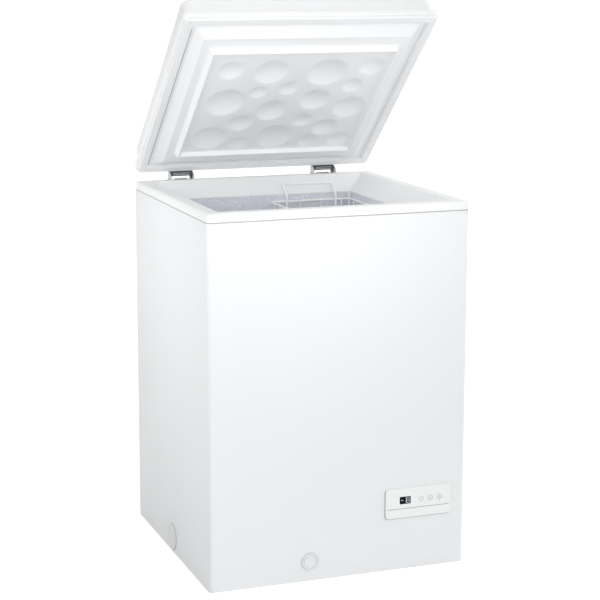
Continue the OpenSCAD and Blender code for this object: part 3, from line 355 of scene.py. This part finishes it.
# A lofted shape: rounded rectangles (half width, half depth, height, corner)
# bridged one to the next, closed by flat ends or back to the first as a ring
def loftPiece(name, loops, steps=8, ring=False):
    apart = 0.2  # loops are joined far apart, then set to their heights
    clearSelection()
    bpy.ops.mesh.primitive_plane_add(size=2, location=(0, 0, 0))
    piece = bpy.context.object
    piece.name = name
    startEdit(piece)
    bmesh.from_edit_mesh(piece.data).verts.layers.int.new("level")
    heights = [loop[2] for loop in loops]
    for level, (halfX, halfY, _, corner) in enumerate(loops, 1):
        if level > 1:
            bpy.ops.mesh.select_mode(type="VERT")
            bpy.ops.mesh.select_all(action="DESELECT")
            bpy.ops.mesh.primitive_plane_add(size=2, location=(0, 0, 0))
        bpy.ops.transform.resize(value=(halfX, halfY, 1), center_override=(0, 0, 0))
        bpy.ops.transform.translate(value=(0, 0, level * apart))
        bpy.ops.mesh.bevel(affect="VERTICES", offset=corner, segments=steps)
        bpy.ops.mesh.delete(type="ONLY_FACE")
        mesh = bmesh.from_edit_mesh(piece.data)
        mark = mesh.verts.layers.int["level"]
        for v in mesh.verts:
            if v[mark] == 0:
                v[mark] = level
    last = len(loops)
    pairs = [(level, level + 1) for level in range(1, last)]
    if ring:
        pairs.append((last, 1))
    for pair in pairs:
        selectLevels(piece, pair)
        bpy.ops.mesh.bridge_edge_loops()
    if not ring:
        for level in (1, last):
            selectLevels(piece, (level,))
            bpy.ops.mesh.edge_face_add()
    for level, z in enumerate(heights, 1):
        selectLevels(piece, (level,))
        bpy.ops.transform.translate(value=(0, 0, z - level * apart))
    bpy.ops.mesh.select_all(action="SELECT")
    bpy.ops.mesh.normals_make_consistent(inside=False)
    bpy.ops.object.mode_set(mode="OBJECT")
    piece.data.attributes.remove(piece.data.attributes["level"])
    return piece


# Loops that carry a rounded outer edge of one radius, from the side to the top
def roundedEdge(halfX, halfY, z, corner, radius, steps=4, up=1):
    leastCorner = 0.0006  # keeps each loop's number of points the same
    loops = []
    for step in range(steps + 1):
        turn = math.radians(90 * step / steps)
        inset = radius * (1 - math.cos(turn))
        rise = radius * (math.sin(turn) - 1)
        loops.append((halfX - inset, halfY - inset, z + up * rise,
                      max(corner - inset, leastCorner)))
    return loops


# A turned shape: rings (radius, height) drawn up one from another
def turnPiece(name, rings, sides):
    clearSelection()
    radius, z = rings[0]
    bpy.ops.mesh.primitive_circle_add(vertices=sides, radius=radius,
                                      fill_type="NGON", location=(0, 0, z))
    piece = bpy.context.object
    piece.name = name
    startEdit(piece, "FACE")
    bpy.ops.mesh.select_all(action="SELECT")
    for nextRadius, nextZ in rings[1:]:
        bpy.ops.mesh.extrude_region_move(
            TRANSFORM_OT_translate={"value": (0, 0, nextZ - z)})
        ratio = nextRadius / radius
        bpy.ops.transform.resize(value=(ratio, ratio, 1), center_override=(0, 0, 0))
        radius, z = nextRadius, nextZ
    bpy.ops.mesh.select_mode(type="EDGE")
    bpy.ops.mesh.select_all(action="DESELECT")
    bpy.ops.mesh.select_non_manifold()
    bpy.ops.mesh.edge_face_add()
    bpy.ops.mesh.select_all(action="SELECT")
    bpy.ops.mesh.normals_make_consistent(inside=False)
    bpy.ops.object.mode_set(mode="OBJECT")
    return piece


def joinPieces(name, parts):
    clearSelection()
    for part in parts:
        part.select_set(True)
    bpy.context.view_layer.objects.active = parts[0]
    bpy.ops.object.transform_apply(location=True, rotation=True, scale=True)
    if len(parts) > 1:
        bpy.ops.object.join()
    parts[0].name = name
    return parts[0]


def movedCopy(source, place, name="copy"):
    twin = bpy.data.objects.new(name, source.data.copy())
    bpy.context.collection.objects.link(twin)
    twin.matrix_world = place @ source.matrix_world
    return twin


def pieceName(node):
    first, *rest = node.split("_")
    return first + "".join(word.capitalize() for word in rest)


# A CAD node's own shape, merged and with its edges softened
def copyNode(node, body, edge=0.0, steps=2, smooth=35, look=None):
    piece = bpy.data.objects.new(pieceName(node), nodes[node].data.copy())
    bpy.context.collection.objects.link(piece)
    pick(piece)
    bpy.ops.mesh.customdata_custom_splitnormals_clear()
    startEdit(piece)
    bpy.ops.mesh.select_all(action="SELECT")
    bpy.ops.mesh.remove_doubles(threshold=0.00001)
    bpy.ops.object.mode_set(mode="OBJECT")
    if edge:
        softenEdges(piece, edge, steps)
    finishPiece(piece, body, slotOf[node], [node], smooth, look=look)


# Parts in the bay, behind the walls and at the hinges, each with the width
# of its softened edges
cabinetEdges = {
    "rear_grille": 0.0004, "side_vent": 0.0006, "compressor_can": 0.0008,
    "compressor_feet": 0.0005, "compressor_grommets": 0.0006, "relay_cover": 0.0010,
    "compressor_motor": 0.0, "filter_drier": 0.0, "suction_line": 0.0,
    "discharge_line": 0.0, "capillary_tube": 0.0, "evaporator_coil": 0.0,
    "condenser_coil": 0.0, "foam_insulation": 0.0, "compressor_studs": 0.0003,
    "grille_screws": 0.0003, "cord_gland": 0.0006, "bay_wiring": 0.0,
    "control_board": 0.0002, "key_switches": 0.0002, "temperature_sensor": 0.0,
    "drain_tube": 0.0004, "hinge_bases": 0.0006, "hinge_pins": 0.0003,
    "hinge_springs": 0.0, "hinge_screws": 0.0003,
}
for node, edge in cabinetEdges.items():
    copyNode(node, "cabinet", edge)
copyNode("drain_plug", "drain_plug", edge=0.0008)
print("Cabinet pieces made:", len(cabinetEdges))

# Collar round the mouth: outer skirt, rounded edge, flat, slope into the liner, lip.
# flatBend and mouthBend round the two bends of the slope.
collar = {"halfX": 0.286, "halfY": 0.273, "low": 0.765, "top": 0.785, "corner": 0.009,
          "edge": 0.0055, "flatX": 0.256, "flatY": 0.247, "mouthX": 0.212,
          "mouthY": 0.215, "mouthZ": 0.748, "lip": 0.7452, "wall": 0.002,
          "flatWall": 0.003, "bend": 0.004,
          "flatBend": [(0.0012, 0.0012, 0), (0.0004, 0.0004, -0.0002),
                       (-0.0006, -0.0005, -0.0009)],
          "mouthBend": [(0.0006, 0.0005, 0.0007), (0, 0, -0.0012)],
          "seam": 0.0022, "deep": 0.0015, "shadowSet": 0.0005, "shadowLift": 0.0001}
outerX, outerY, corner = collar["halfX"], collar["halfY"], collar["corner"]
low, top, lip, wall = collar["low"], collar["top"], collar["lip"], collar["wall"]
flatX, flatY, flatLow = collar["flatX"], collar["flatY"], top - collar["flatWall"]
mouthX, mouthY, mouthZ = collar["mouthX"], collar["mouthY"], collar["mouthZ"]
seam, deep, bend = collar["seam"], collar["deep"], collar["bend"]
collarLoops = [(outerX - deep, outerY - deep, low, corner - deep),
               (outerX - deep, outerY - deep, low + seam, corner - deep),
               (outerX, outerY, low + seam, corner)]
collarLoops += roundedEdge(outerX, outerY, top, corner, collar["edge"], steps=5)
collarLoops += [(flatX + x, flatY + y, top + z, bend) for x, y, z in collar["flatBend"]]
collarLoops += [(mouthX + x, mouthY + y, mouthZ + z, bend)
                for x, y, z in collar["mouthBend"]]
collarLoops += [(mouthX, mouthY, lip, bend),
                (mouthX + wall, mouthY + wall, lip, bend + wall),
                (mouthX + wall, mouthY + wall, mouthZ - wall, bend + wall),
                (flatX, flatY, flatLow, bend),
                (outerX - wall, outerY - wall, flatLow, corner - wall),
                (outerX - wall, outerY - wall, low, corner - wall)]
piece = loftPiece("topCollar", collarLoops, ring=True)
finishPiece(piece, "cabinet", "white_plastic", ["top_collar"], smooth=30)

# Grey strip in the recess under the collar: painted shadow of the gap between the collar and the cabinet's top
# edge
shadowX, shadowY = outerX - collar["shadowSet"], outerY - collar["shadowSet"]
shadowLow, shadowCorner = low + collar["shadowLift"], corner - collar["shadowSet"]
piece = loftPiece("collarGapShadow", [
    (shadowX, shadowY, shadowLow, shadowCorner), (shadowX, shadowY, shadowLow + seam, shadowCorner),
    (shadowX - deep, shadowY - deep, shadowLow + seam, shadowCorner - deep),
    (shadowX - deep, shadowY - deep, shadowLow, shadowCorner - deep)], ring=True)
finishPiece(piece, "cabinet", "gasket_rubber", look="seam_and_painted_shade_grey")
print("Collar made")

# Lid, modelled closed
lid = {"bandX": 0.284, "bandY": 0.270, "bandLow": 0.792, "bandTop": 0.806,
       "bandCorner": 0.014, "bandEdge": 0.0035, "skinX": 0.276, "skinY": 0.262,
       "skinTop": 0.845, "skinCorner": 0.016, "skinEdge": 0.008, "openX": 0.259,
       "openY": 0.245, "openCorner": 0.004}
bandLoops = roundedEdge(lid["bandX"], lid["bandY"], lid["bandLow"], lid["bandCorner"],
                        lid["bandEdge"], up=-1)[::-1]
bandLoops += roundedEdge(lid["bandX"], lid["bandY"], lid["bandTop"], lid["bandCorner"],
                         lid["bandEdge"])
bandLoops += [(lid["openX"], lid["openY"], lid["bandTop"], lid["openCorner"]),
              (lid["openX"], lid["openY"], lid["bandLow"], lid["openCorner"])]
piece = loftPiece("lidFrame", bandLoops, ring=True)
finishPiece(piece, "lid", "white_plastic", ["lid_frame"], smooth=30, place=swing)

skinLoops = [(lid["skinX"], lid["skinY"], lid["bandTop"], lid["skinCorner"])]
skinLoops += roundedEdge(lid["skinX"], lid["skinY"], lid["skinTop"], lid["skinCorner"],
                         lid["skinEdge"], steps=7)
piece = loftPiece("lidSkin", skinLoops)
finishPiece(piece, "lid", "white_enamel", ["lid_shell", "lid_foam"], smooth=30,
            place=swing)

# Gasket, from the outside in: cushion, magnet face, groove and inner lip. A light filling lies between it and the
# panel's rim; along the left side a dark strip in that gap paints the shadow under the gasket's inner lip.
gasket = {"rings": [(0.2790, 0.2650, 0.7920, 0.009), (0.2800, 0.2660, 0.7905, 0.010),
                    (0.2797, 0.2657, 0.7872, 0.010), (0.2785, 0.2645, 0.7856, 0.009),
                    (0.2765, 0.2625, 0.7853, 0.007), (0.2722, 0.2582, 0.7853, 0.003),
                    (0.2712, 0.2572, 0.7861, 0.0025), (0.2702, 0.2562, 0.7853, 0.002),
                    (0.2655, 0.2515, 0.7853, 0.0015), (0.2636, 0.2496, 0.7858, 0.0012),
                    (0.2620, 0.2480, 0.7872, 0.0012), (0.2607, 0.2467, 0.7868, 0.0012),
                    (0.2605, 0.2465, 0.7874, 0.0012), (0.2618, 0.2478, 0.7896, 0.0012),
                    (0.2640, 0.2500, 0.7920, 0.0012)],
          "filling": [(0.2603, 0.2463, 0.7918, 0.0012), (0.2603, 0.2463, 0.7874, 0.0012),
                      (0.2601, 0.2461, 0.7872, 0.0011), (0.2591, 0.2451, 0.7872, 0.0010),
                      (0.2589, 0.2449, 0.7874, 0.0010), (0.2589, 0.2449, 0.7918, 0.0010)],
          "gap": [(0.0006, 0.236, 0.7880, 0.0002), (0.0006, 0.236, 0.7871, 0.0002),
                  (0.0005, 0.236, 0.7869, 0.0002)],
          "gapX": -0.2596}
piece = loftPiece("lidGasket", gasket["rings"], ring=True)
finishPiece(piece, "lid", "gasket_rubber", ["lid_gasket"], smooth=50, place=swing)
piece = loftPiece("lidSeam", gasket["filling"], ring=True)
finishPiece(piece, "lid", "gasket_rubber", place=swing)
# Dark strip in the left side's gap: painted shadow under the gasket's lip
piece = loftPiece("lidGap", gasket["gap"])
finishPiece(piece, "lid", "gasket_rubber", look="painted_gap_shadow",
            place=swing @ Matrix.Translation((gasket["gapX"], 0, 0)))
print("Lid frame, skin and gasket made")

# Lid's inner panel: a grid dented by round dimples, then walls drawn out from it.
# A dimple is its place and width in millimetres; depth is a share of the width.
panel = {"fieldX": 0.1988, "fieldY": 0.1763, "fieldZ": 0.775, "cells": (160, 140),
         "depth": 0.12, "wall": 0.002, "edge": 0.0022, "perMetre": 1000,
         "walls": [(0.2028, 0.1778, 0.764), (0.2068, 0.1818, 0.764),
                   (0.2128, 0.1868, 0.777), (0.2296, 0.2136, 0.777),
                   (0.2308, 0.2148, 0.777), (0.2498, 0.2418, 0.792),
                   (0.2506, 0.2423, 0.792), (0.2588, 0.2448, 0.792)],
         "dimples": [(-149, -113, 60), (-58, -105, 78), (72, -100, 90), (168, -118, 58),
                     (-69, -35, 40), (-2, -47, 46), (144, -54, 46), (-136, -3, 90),
                     (70, -4, 70), (160, 25, 74), (-23, 31, 70), (-85, 73, 56),
                     (60, 69, 46), (123, 98, 58), (-144, 127, 80), (-72, 149, 44),
                     (10, 129, 84), (94, 149, 44), (170, 145, 52)]}
clearSelection()
bpy.ops.mesh.primitive_grid_add(x_subdivisions=panel["cells"][0],
                                y_subdivisions=panel["cells"][1], size=2,
                                location=(0, 0, 0))
piece = bpy.context.object
piece.name = "lidPanel"
startEdit(piece)
bpy.ops.mesh.select_all(action="SELECT")
bpy.ops.transform.resize(value=(panel["fieldX"], panel["fieldY"], 1),
                         center_override=(0, 0, 0))
bpy.ops.transform.translate(value=(0, 0, panel["fieldZ"]))
perMetre = panel["perMetre"]
for x, y, width in panel["dimples"]:
    bpy.ops.mesh.select_all(action="DESELECT")
    mesh = bmesh.from_edit_mesh(piece.data)
    dimpleAt = Vector((x, y)) / perMetre
    nearest = min(mesh.verts, key=lambda v: (v.co.xy - dimpleAt).length)
    nearest.select_set(True)
    bmesh.update_edit_mesh(piece.data)
    bpy.ops.transform.translate(
        value=(0, 0, panel["depth"] * width / perMetre), use_proportional_edit=True,
        proportional_edit_falloff="INVERSE_SQUARE",
        proportional_size=width / perMetre / 2)
bpy.ops.mesh.select_mode(type="EDGE")
bpy.ops.mesh.select_all(action="DESELECT")
bpy.ops.mesh.select_non_manifold()
sizeX, sizeY, level = panel["fieldX"], panel["fieldY"], panel["fieldZ"]
for nextX, nextY, nextZ in panel["walls"]:
    bpy.ops.mesh.extrude_region_move()
    bpy.ops.transform.resize(value=(nextX / sizeX, nextY / sizeY, 1),
                             center_override=(0, 0, level))
    bpy.ops.transform.translate(value=(0, 0, nextZ - level))
    sizeX, sizeY, level = nextX, nextY, nextZ
bpy.ops.mesh.select_all(action="SELECT")
bpy.ops.mesh.normals_make_consistent(inside=False)
middle = min(bmesh.from_edit_mesh(piece.data).faces,
             key=lambda f: f.calc_center_median().xy.length)
if middle.normal.z > 0:
    bpy.ops.mesh.flip_normals()
bpy.ops.object.mode_set(mode="OBJECT")
softenEdges(piece, panel["edge"], angle=40)
addModifier(piece, "SOLIDIFY", thickness=panel["wall"], offset=-1)
finishPiece(piece, "lid", "lid_plastic", ["lid_panel"], smooth=30, place=swing)
print("Lid panel made, dimples:", len(panel["dimples"]))

copyNode("hinge_arms", "lid", edge=0.0008, look="hinge_dark")
copyNode("arm_screws", "lid", edge=0.0003)

# Light bars across each hinge arm's dark web, set closed and swung with the lid
hingeBars = {"x": 0.174, "half": 0.0195, "radius": 0.0012, "point": 0.0004, "tip": 0.7,
             "places": [(0.2747, 0.7868), (0.2776, 0.7844)]}
half, radius = hingeBars["half"], hingeBars["radius"]
end, tipRadius = half + hingeBars["point"], radius * hingeBars["tip"]
bar = turnPiece("bar", [(tipRadius, -end), (radius, -half), (radius, half),
                        (tipRadius, end)], sides=20)
lying = Matrix.Rotation(math.radians(90), 4, "Y")
bars = [movedCopy(bar, Matrix.Translation((side * hingeBars["x"], barY, barZ)) @ lying)
        for side in (-1, 1) for barY, barZ in hingeBars["places"]]
bpy.data.objects.remove(bar)
finishPiece(joinPieces("hingeBars", bars), "lid", "hinge_steel", look="zinc_screw",
            place=swing)
for node in ("basket_frame", "basket_hangers"):
    copyNode(node, "basket", smooth=50)
print("Hinges and basket made")

# Control plate: grey ring round it as painted shade at its edges, window with figures, keys with their printed
# signs
copyNode("control_bezel", "cabinet", edge=0.0012, steps=3)
copyNode("display_window", "cabinet", edge=0.0005)
plate = {"x": 0.177, "z": 0.147, "front": -0.277, "wide": 0.150, "high": 0.064,
         "corner": 0.007, "seal": (0.0011, 0.0006), "shadeOut": 0.0012, "shadeUnder": 0.0002,
         "shadeRim": (0.6, 0.7), "shadeRingAt": (0.1769, 0.1457, -0.273),
         "line": (0.071, 0.0007, 0.0005), "lineZ": 0.135, "rowZ": 0.153,
         "windowX": 0.1465}


def onFront(x, z, y):
    return Matrix.Translation((x, y, z)) @ Matrix.Rotation(math.radians(90), 4, "X")


def onLeft(y, z, x):
    return Matrix.Translation((x, y, z)) @ Matrix.Rotation(math.radians(-90), 4, "Y")


halfWide, halfHigh, out = plate["wide"] / 2, plate["high"] / 2, plate["shadeOut"]
(shadeX, shadeZ), (rimIn, rimUp) = plate["seal"], plate["shadeRim"]
innerWide, innerHigh = halfWide - plate["shadeUnder"], halfHigh - plate["shadeUnder"]
# A grey ring set a little low behind the plate: painted shade along its edges, widest under the lower edge
piece = loftPiece("plateShadeRing", [
    (halfWide + shadeX, halfHigh + shadeZ, 0, plate["corner"]),
    (halfWide + shadeX, halfHigh + shadeZ, out * rimUp, plate["corner"]),
    (halfWide + shadeX * rimIn, halfHigh + shadeZ * rimIn, out, plate["corner"]),
    (innerWide, innerHigh, out, plate["corner"]),
    (innerWide, innerHigh, 0, plate["corner"])], ring=True)
finishPiece(piece, "cabinet", "gasket_rubber", look="seam_and_painted_shade_grey",
            place=onFront(*plate["shadeRingAt"]))


# A flat mark with rounded corners, standing a little off the face behind it
def markPiece(name, halfWidth, halfHeight, corner, thick=0.0003):
    rim = thick * 0.3
    return loftPiece(name, [
        (halfWidth, halfHeight, 0, corner), (halfWidth, halfHeight, thick - rim, corner),
        (halfWidth - rim, halfHeight - rim, thick, corner)], steps=3)


piece = markPiece("plateLine", *plate["line"])
finishPiece(piece, "cabinet", "key_plastic", look="seam_and_painted_shade_grey",
            place=onFront(plate["x"], plate["lineZ"], plate["front"]))


# Figures: one bar is made, then copied to each place that is lit
figure = {"wide": 0.0060, "high": 0.0116, "bar": 0.00045, "break": 0.0004,
          "corner": 0.0004, "thick": 0.0002, "minus": -0.0066, "one": -0.0008,
          "eight": 0.0064, "face": -0.27645}
sideX, stepY = figure["wide"] / 2, figure["high"] / 4
bar = markPiece("bar", sideX - figure["break"], figure["bar"], figure["corner"],
                figure["thick"])
upright = Matrix.Rotation(math.radians(90), 4, "Z")
barPlaces = {"top": (0, 2 * stepY, 0), "middle": (0, 0, 0), "low": (0, -2 * stepY, 0),
             "upperRight": (sideX, stepY, 1), "lowerRight": (sideX, -stepY, 1),
             "upperLeft": (-sideX, stepY, 1), "lowerLeft": (-sideX, -stepY, 1)}
figureBars = [("minus", ["middle"]), ("one", ["upperRight", "lowerRight"]),
              ("eight", list(barPlaces))]
bars = []
for sign, lit in figureBars:
    for key in lit:
        barX, barY, stands = barPlaces[key]
        place = Matrix.Translation((figure[sign] + barX, barY, 0))
        bars.append(movedCopy(bar, place @ upright if stands else place))
bpy.data.objects.remove(bar)
piece = joinPieces("displayDigits", bars)
finishPiece(piece, "cabinet", "lit_digits", ["display_digits"],
            place=onFront(plate["windowX"], plate["rowZ"], figure["face"]))


# A flat ring; its corners are a little under the radius, so that no side is lost
def roundRing(name, outer, inner, thick):
    nearlyRound = 0.998
    rings = [(outer, 0), (outer, thick), (inner, thick), (inner, 0)]
    return loftPiece(name, [(radius, radius, z, radius * nearlyRound)
                            for radius, z in rings], steps=14, ring=True)


# Keys: one dished cap, one printed ring and one stroke are made and copied. Each key
# has its place along the plate and the turns, in degrees, of its sign's strokes.
keys = {"radius": 0.0058, "flange": 0.0076, "flangeThick": 0.0012, "rear": -0.2716,
        "front": -0.2771, "dish": [(0.0058, 0.0006), (0.0056, 0.0002), (0.0054, 0),
                                   (0.0044, 0), (0.0040, 0.00015), (0.0020, 0.0004),
                                   (0.0006, 0.00045)],
        "ring": (0.0050, 0.00455, 0.0002), "stroke": (0.0017, 0.0003, 0.0003, 0.0004),
        "signSunk": 0.00045,
        "places": {"key_minus": (0.183, [0]), "key_plus": (0.2045, [0, 90]),
                   "key_mode": (0.2255, [0, 60, 120])}}
keyDeep = keys["rear"] - keys["front"]
keyRings = [(keys["flange"], 0), (keys["flange"], keys["flangeThick"]),
            (keys["radius"], keys["flangeThick"])]
keyRings += [(radius, keyDeep - drop) for radius, drop in keys["dish"]]
keyCap = turnPiece("keyCap", keyRings, sides=48)
keyRing = roundRing("keyRing", *keys["ring"])
stroke = markPiece("stroke", *keys["stroke"])
asMade = Matrix.Identity(4)
for node, (keyX, turns) in keys["places"].items():
    piece = movedCopy(keyCap, asMade, pieceName(node))
    finishPiece(piece, node, "key_plastic", [node],
                place=onFront(keyX, plate["rowZ"], keys["rear"]))
    piece = movedCopy(keyRing, asMade, pieceName(node) + "Ring")
    finishPiece(piece, node, "key_plastic", look="key_print",
                place=onFront(keyX, plate["rowZ"], keys["front"]))
    strokes = [movedCopy(stroke, Matrix.Rotation(math.radians(turn), 4, "Z"))
               for turn in turns]
    piece = joinPieces(pieceName(node) + "Sign", strokes)
    finishPiece(piece, node, "key_plastic", look="key_print",
                place=onFront(keyX, plate["rowZ"], keys["front"] + keys["signSunk"]))
for model in (keyCap, keyRing, stroke):
    bpy.data.objects.remove(model)

# Small pointers: above and below the space between the first two keys, and below the
# third. Each has its place, its rise over the keys' row and its turn in degrees.
pointer = {"size": 0.0016, "thick": 0.0003, "edge": 0.0002,
           "places": {"pointerUp": (0.19375, 0.0088, 0),
                      "pointerDown": (0.19375, -0.0082, 180),
                      "pointerMode": (0.2255, -0.0078, 180)}}
clearSelection()
bpy.ops.mesh.primitive_circle_add(vertices=3, radius=pointer["size"],
                                  fill_type="NGON", location=(0, 0, 0))
model = bpy.context.object
startEdit(model, "FACE")
bpy.ops.mesh.select_all(action="SELECT")
bpy.ops.mesh.extrude_region_move(
    TRANSFORM_OT_translate={"value": (0, 0, pointer["thick"])})
bpy.ops.mesh.select_all(action="SELECT")
bpy.ops.mesh.normals_make_consistent(inside=False)
bpy.ops.object.mode_set(mode="OBJECT")
softenEdges(model, pointer["edge"], steps=2, angle=60)
for name, (pointerX, rise, turn) in pointer["places"].items():
    piece = movedCopy(model, Matrix.Rotation(math.radians(turn), 4, "Z"), name)
    finishPiece(piece, "cabinet", "key_plastic", look="key_print",
                place=onFront(pointerX, plate["rowZ"] + rise, plate["front"]))
bpy.data.objects.remove(model)
print("Control plate made")

# Caps: turned discs with a raised rim and an inner disc set in. A grey ring behind each one, set off downwards and
# to one side, paints the shade along the cap's edge; it stays on the cabinet: its outer and inner radius,
# thickness and place.
drainCap = {"x": -0.067, "z": 0.042, "seat": -0.2733,
            "seam": (0.0193, 0.0150, 0.0003), "shadowAt": (-0.0667, 0.0417, -0.2730),
            "rings": [(0.0097, -0.012), (0.0097, 0), (0.0185, 0), (0.0185, 0.0024),
                      (0.0181, 0.0034), (0.0172, 0.0039), (0.0162, 0.0040),
                      (0.0153, 0.0037), (0.0149, 0.0028), (0.0147, 0.0016),
                      (0.0139, 0.0014), (0.0136, 0.0020), (0.0130, 0.0026),
                      (0.0060, 0.0028), (0.0020, 0.0028)]}
piece = turnPiece("drainCap", drainCap["rings"], sides=72)
finishPiece(piece, "drain_cap", slotOf["drain_cap"], ["drain_cap"], look="cap_plastic",
            place=onFront(drainCap["x"], drainCap["z"], drainCap["seat"]))
sideCap = {"y": 0.0, "z": 0.034, "seat": -0.286,
           "seam": (0.0297, 0.0270, 0.0006), "shadowAt": (-0.0006, 0.0336, -0.2860),
           "rings": [(0.025, -0.006), (0.025, 0), (0.029, 0), (0.029, 0.0012),
                     (0.0285, 0.0020), (0.0275, 0.0025), (0.0250, 0.0025),
                     (0.0244, 0.0021), (0.0240, 0.0013), (0.0225, 0.0013),
                     (0.0219, 0.0020), (0.0120, 0.0023), (0.0040, 0.0023)]}
piece = turnPiece("sideCap", sideCap["rings"], sides=72)
finishPiece(piece, "cabinet", slotOf["side_cap"], ["side_cap"], look="cap_plastic",
            place=onLeft(sideCap["y"], sideCap["z"], sideCap["seat"]))
# Painted shade round the caps' edges
piece = roundRing("drainSeam", *drainCap["seam"])
finishPiece(piece, "cabinet", "gasket_rubber", look="seam_and_painted_shade_grey",
            place=onFront(*drainCap["shadowAt"]))
piece = roundRing("sideSeam", *sideCap["seam"])
finishPiece(piece, "cabinet", "gasket_rubber", look="seam_and_painted_shade_grey",
            place=onLeft(*sideCap["shadowAt"]))
print("Caps made")

# Floor, soft studio light and camera. A lamp has its place, aim, size, power and spread.
studio = {"ambient": 0.85, "fromFront": 0.06, "fromLeft": -0.56, "fromAbove": -0.02,
          "backdrop": 1.04, "floor": (0.90, 0.90, 0.90), "floorDrift": (2.0, 0.01),
          "floorRough": 0.9, "floorGlow": 0.5, "floorSize": 40,
          "lamps": {"keyLamp": ((-1.3, -1.7, 1.35), (0, 0, 0.6), 0.9, 9.4, 180),
                    "sideLamp": ((-1.5, 0.1, 1.05), (0, 0, 0.66), 0.6, 0.45, 45),
                    "lidLamp": ((-0.3, -2.2, 0.95), (0, 0.15, 0.92), 0.4, 0.36, 32)},
          "lens": 102.6, "sensor": 36, "shiftY": -0.05,
          "cameraPlace": (-1.268, -3.454, 1.282), "cameraTurn": (79.64, -0.12, -20.29)}


# One where the camera, a reflection or clear matter sees the surface, else nought
def seenDirectly(tree):
    path = addNode(tree, "ShaderNodeLightPath")
    either = addNode(tree, "ShaderNodeMath", {
        0: path.outputs["Is Camera Ray"], 1: path.outputs["Is Glossy Ray"]},
        operation="MAXIMUM")
    return addNode(tree, "ShaderNodeMath", {
        0: either.outputs[0], 1: path.outputs["Is Transmission Ray"]},
        operation="MAXIMUM").outputs[0]


world = bpy.data.worlds.new("studioWorld")
bpy.context.scene.world = world
world.use_nodes = True
worldTree = world.node_tree
background = worldTree.nodes["Background"]
skyWay = addNode(worldTree, "ShaderNodeTexCoord")
skyLean = addNode(worldTree, "ShaderNodeVectorMath", {
    0: skyWay.outputs["Generated"],
    1: (-studio["fromLeft"], -studio["fromFront"], studio["fromAbove"])},
    operation="DOT_PRODUCT")
skyLight = addNode(worldTree, "ShaderNodeMath", {
    0: skyLean.outputs["Value"], 1: studio["ambient"]}, operation="ADD")
worldStrength = addNode(worldTree, "ShaderNodeMapRange", {
    "Value": seenDirectly(worldTree), "To Min": skyLight.outputs[0],
    "To Max": studio["backdrop"]})
background.inputs["Color"].default_value = (1, 1, 1, 1)
worldTree.links.new(worldStrength.outputs[0], background.inputs["Strength"])

clearSelection()
bpy.ops.mesh.primitive_plane_add(size=studio["floorSize"], location=(0, 0, 0))
floor = bpy.context.object
floor.name = "studioFloor"
floorLook = bpy.data.materials.new("floorWhite")
floorLook.use_nodes = True
floorTree = floorLook.node_tree
floorShader = floorTree.nodes["Principled BSDF"]
driftScale, driftAmount = studio["floorDrift"]
floorTone = useGroup(floorTree, toneGroup, {
    "Color": (*studio["floor"], 1), "Scale": driftScale, "Amount": driftAmount})
floorTree.links.new(floorTone.outputs["Color"], floorShader.inputs["Base Color"])
floorShader.inputs["Roughness"].default_value = studio["floorRough"]
floorShader.inputs["Emission Color"].default_value = (1, 1, 1, 1)
floorGlow = addNode(floorTree, "ShaderNodeMath", {
    0: seenDirectly(floorTree), 1: studio["floorGlow"]}, operation="MULTIPLY")
floorTree.links.new(floorGlow.outputs[0], floorShader.inputs["Emission Strength"])
floor.data.materials.append(floorLook)

for name, (lampPlace, lampAim, size, power, spread) in studio["lamps"].items():
    clearSelection()
    bpy.ops.object.light_add(type="AREA", location=lampPlace)
    lamp = bpy.context.object
    lamp.name = name
    lamp.data.shape = "SQUARE"
    lamp.data.size = size
    lamp.data.energy = power
    lamp.data.spread = math.radians(spread)
    lampWay = Vector(lampAim) - Vector(lampPlace)
    lamp.rotation_euler = lampWay.to_track_quat("-Z", "Y").to_euler()

clearSelection()
bpy.ops.object.camera_add(location=studio["cameraPlace"],
                          rotation=[math.radians(a) for a in studio["cameraTurn"]])
camera = bpy.context.object
camera.data.lens = studio["lens"]
camera.data.sensor_width = studio["sensor"]
camera.data.shift_y = studio["shiftY"]
bpy.context.scene.camera = camera
bpy.context.scene.view_settings.view_transform = "Standard"
print("Stage, light and camera set")
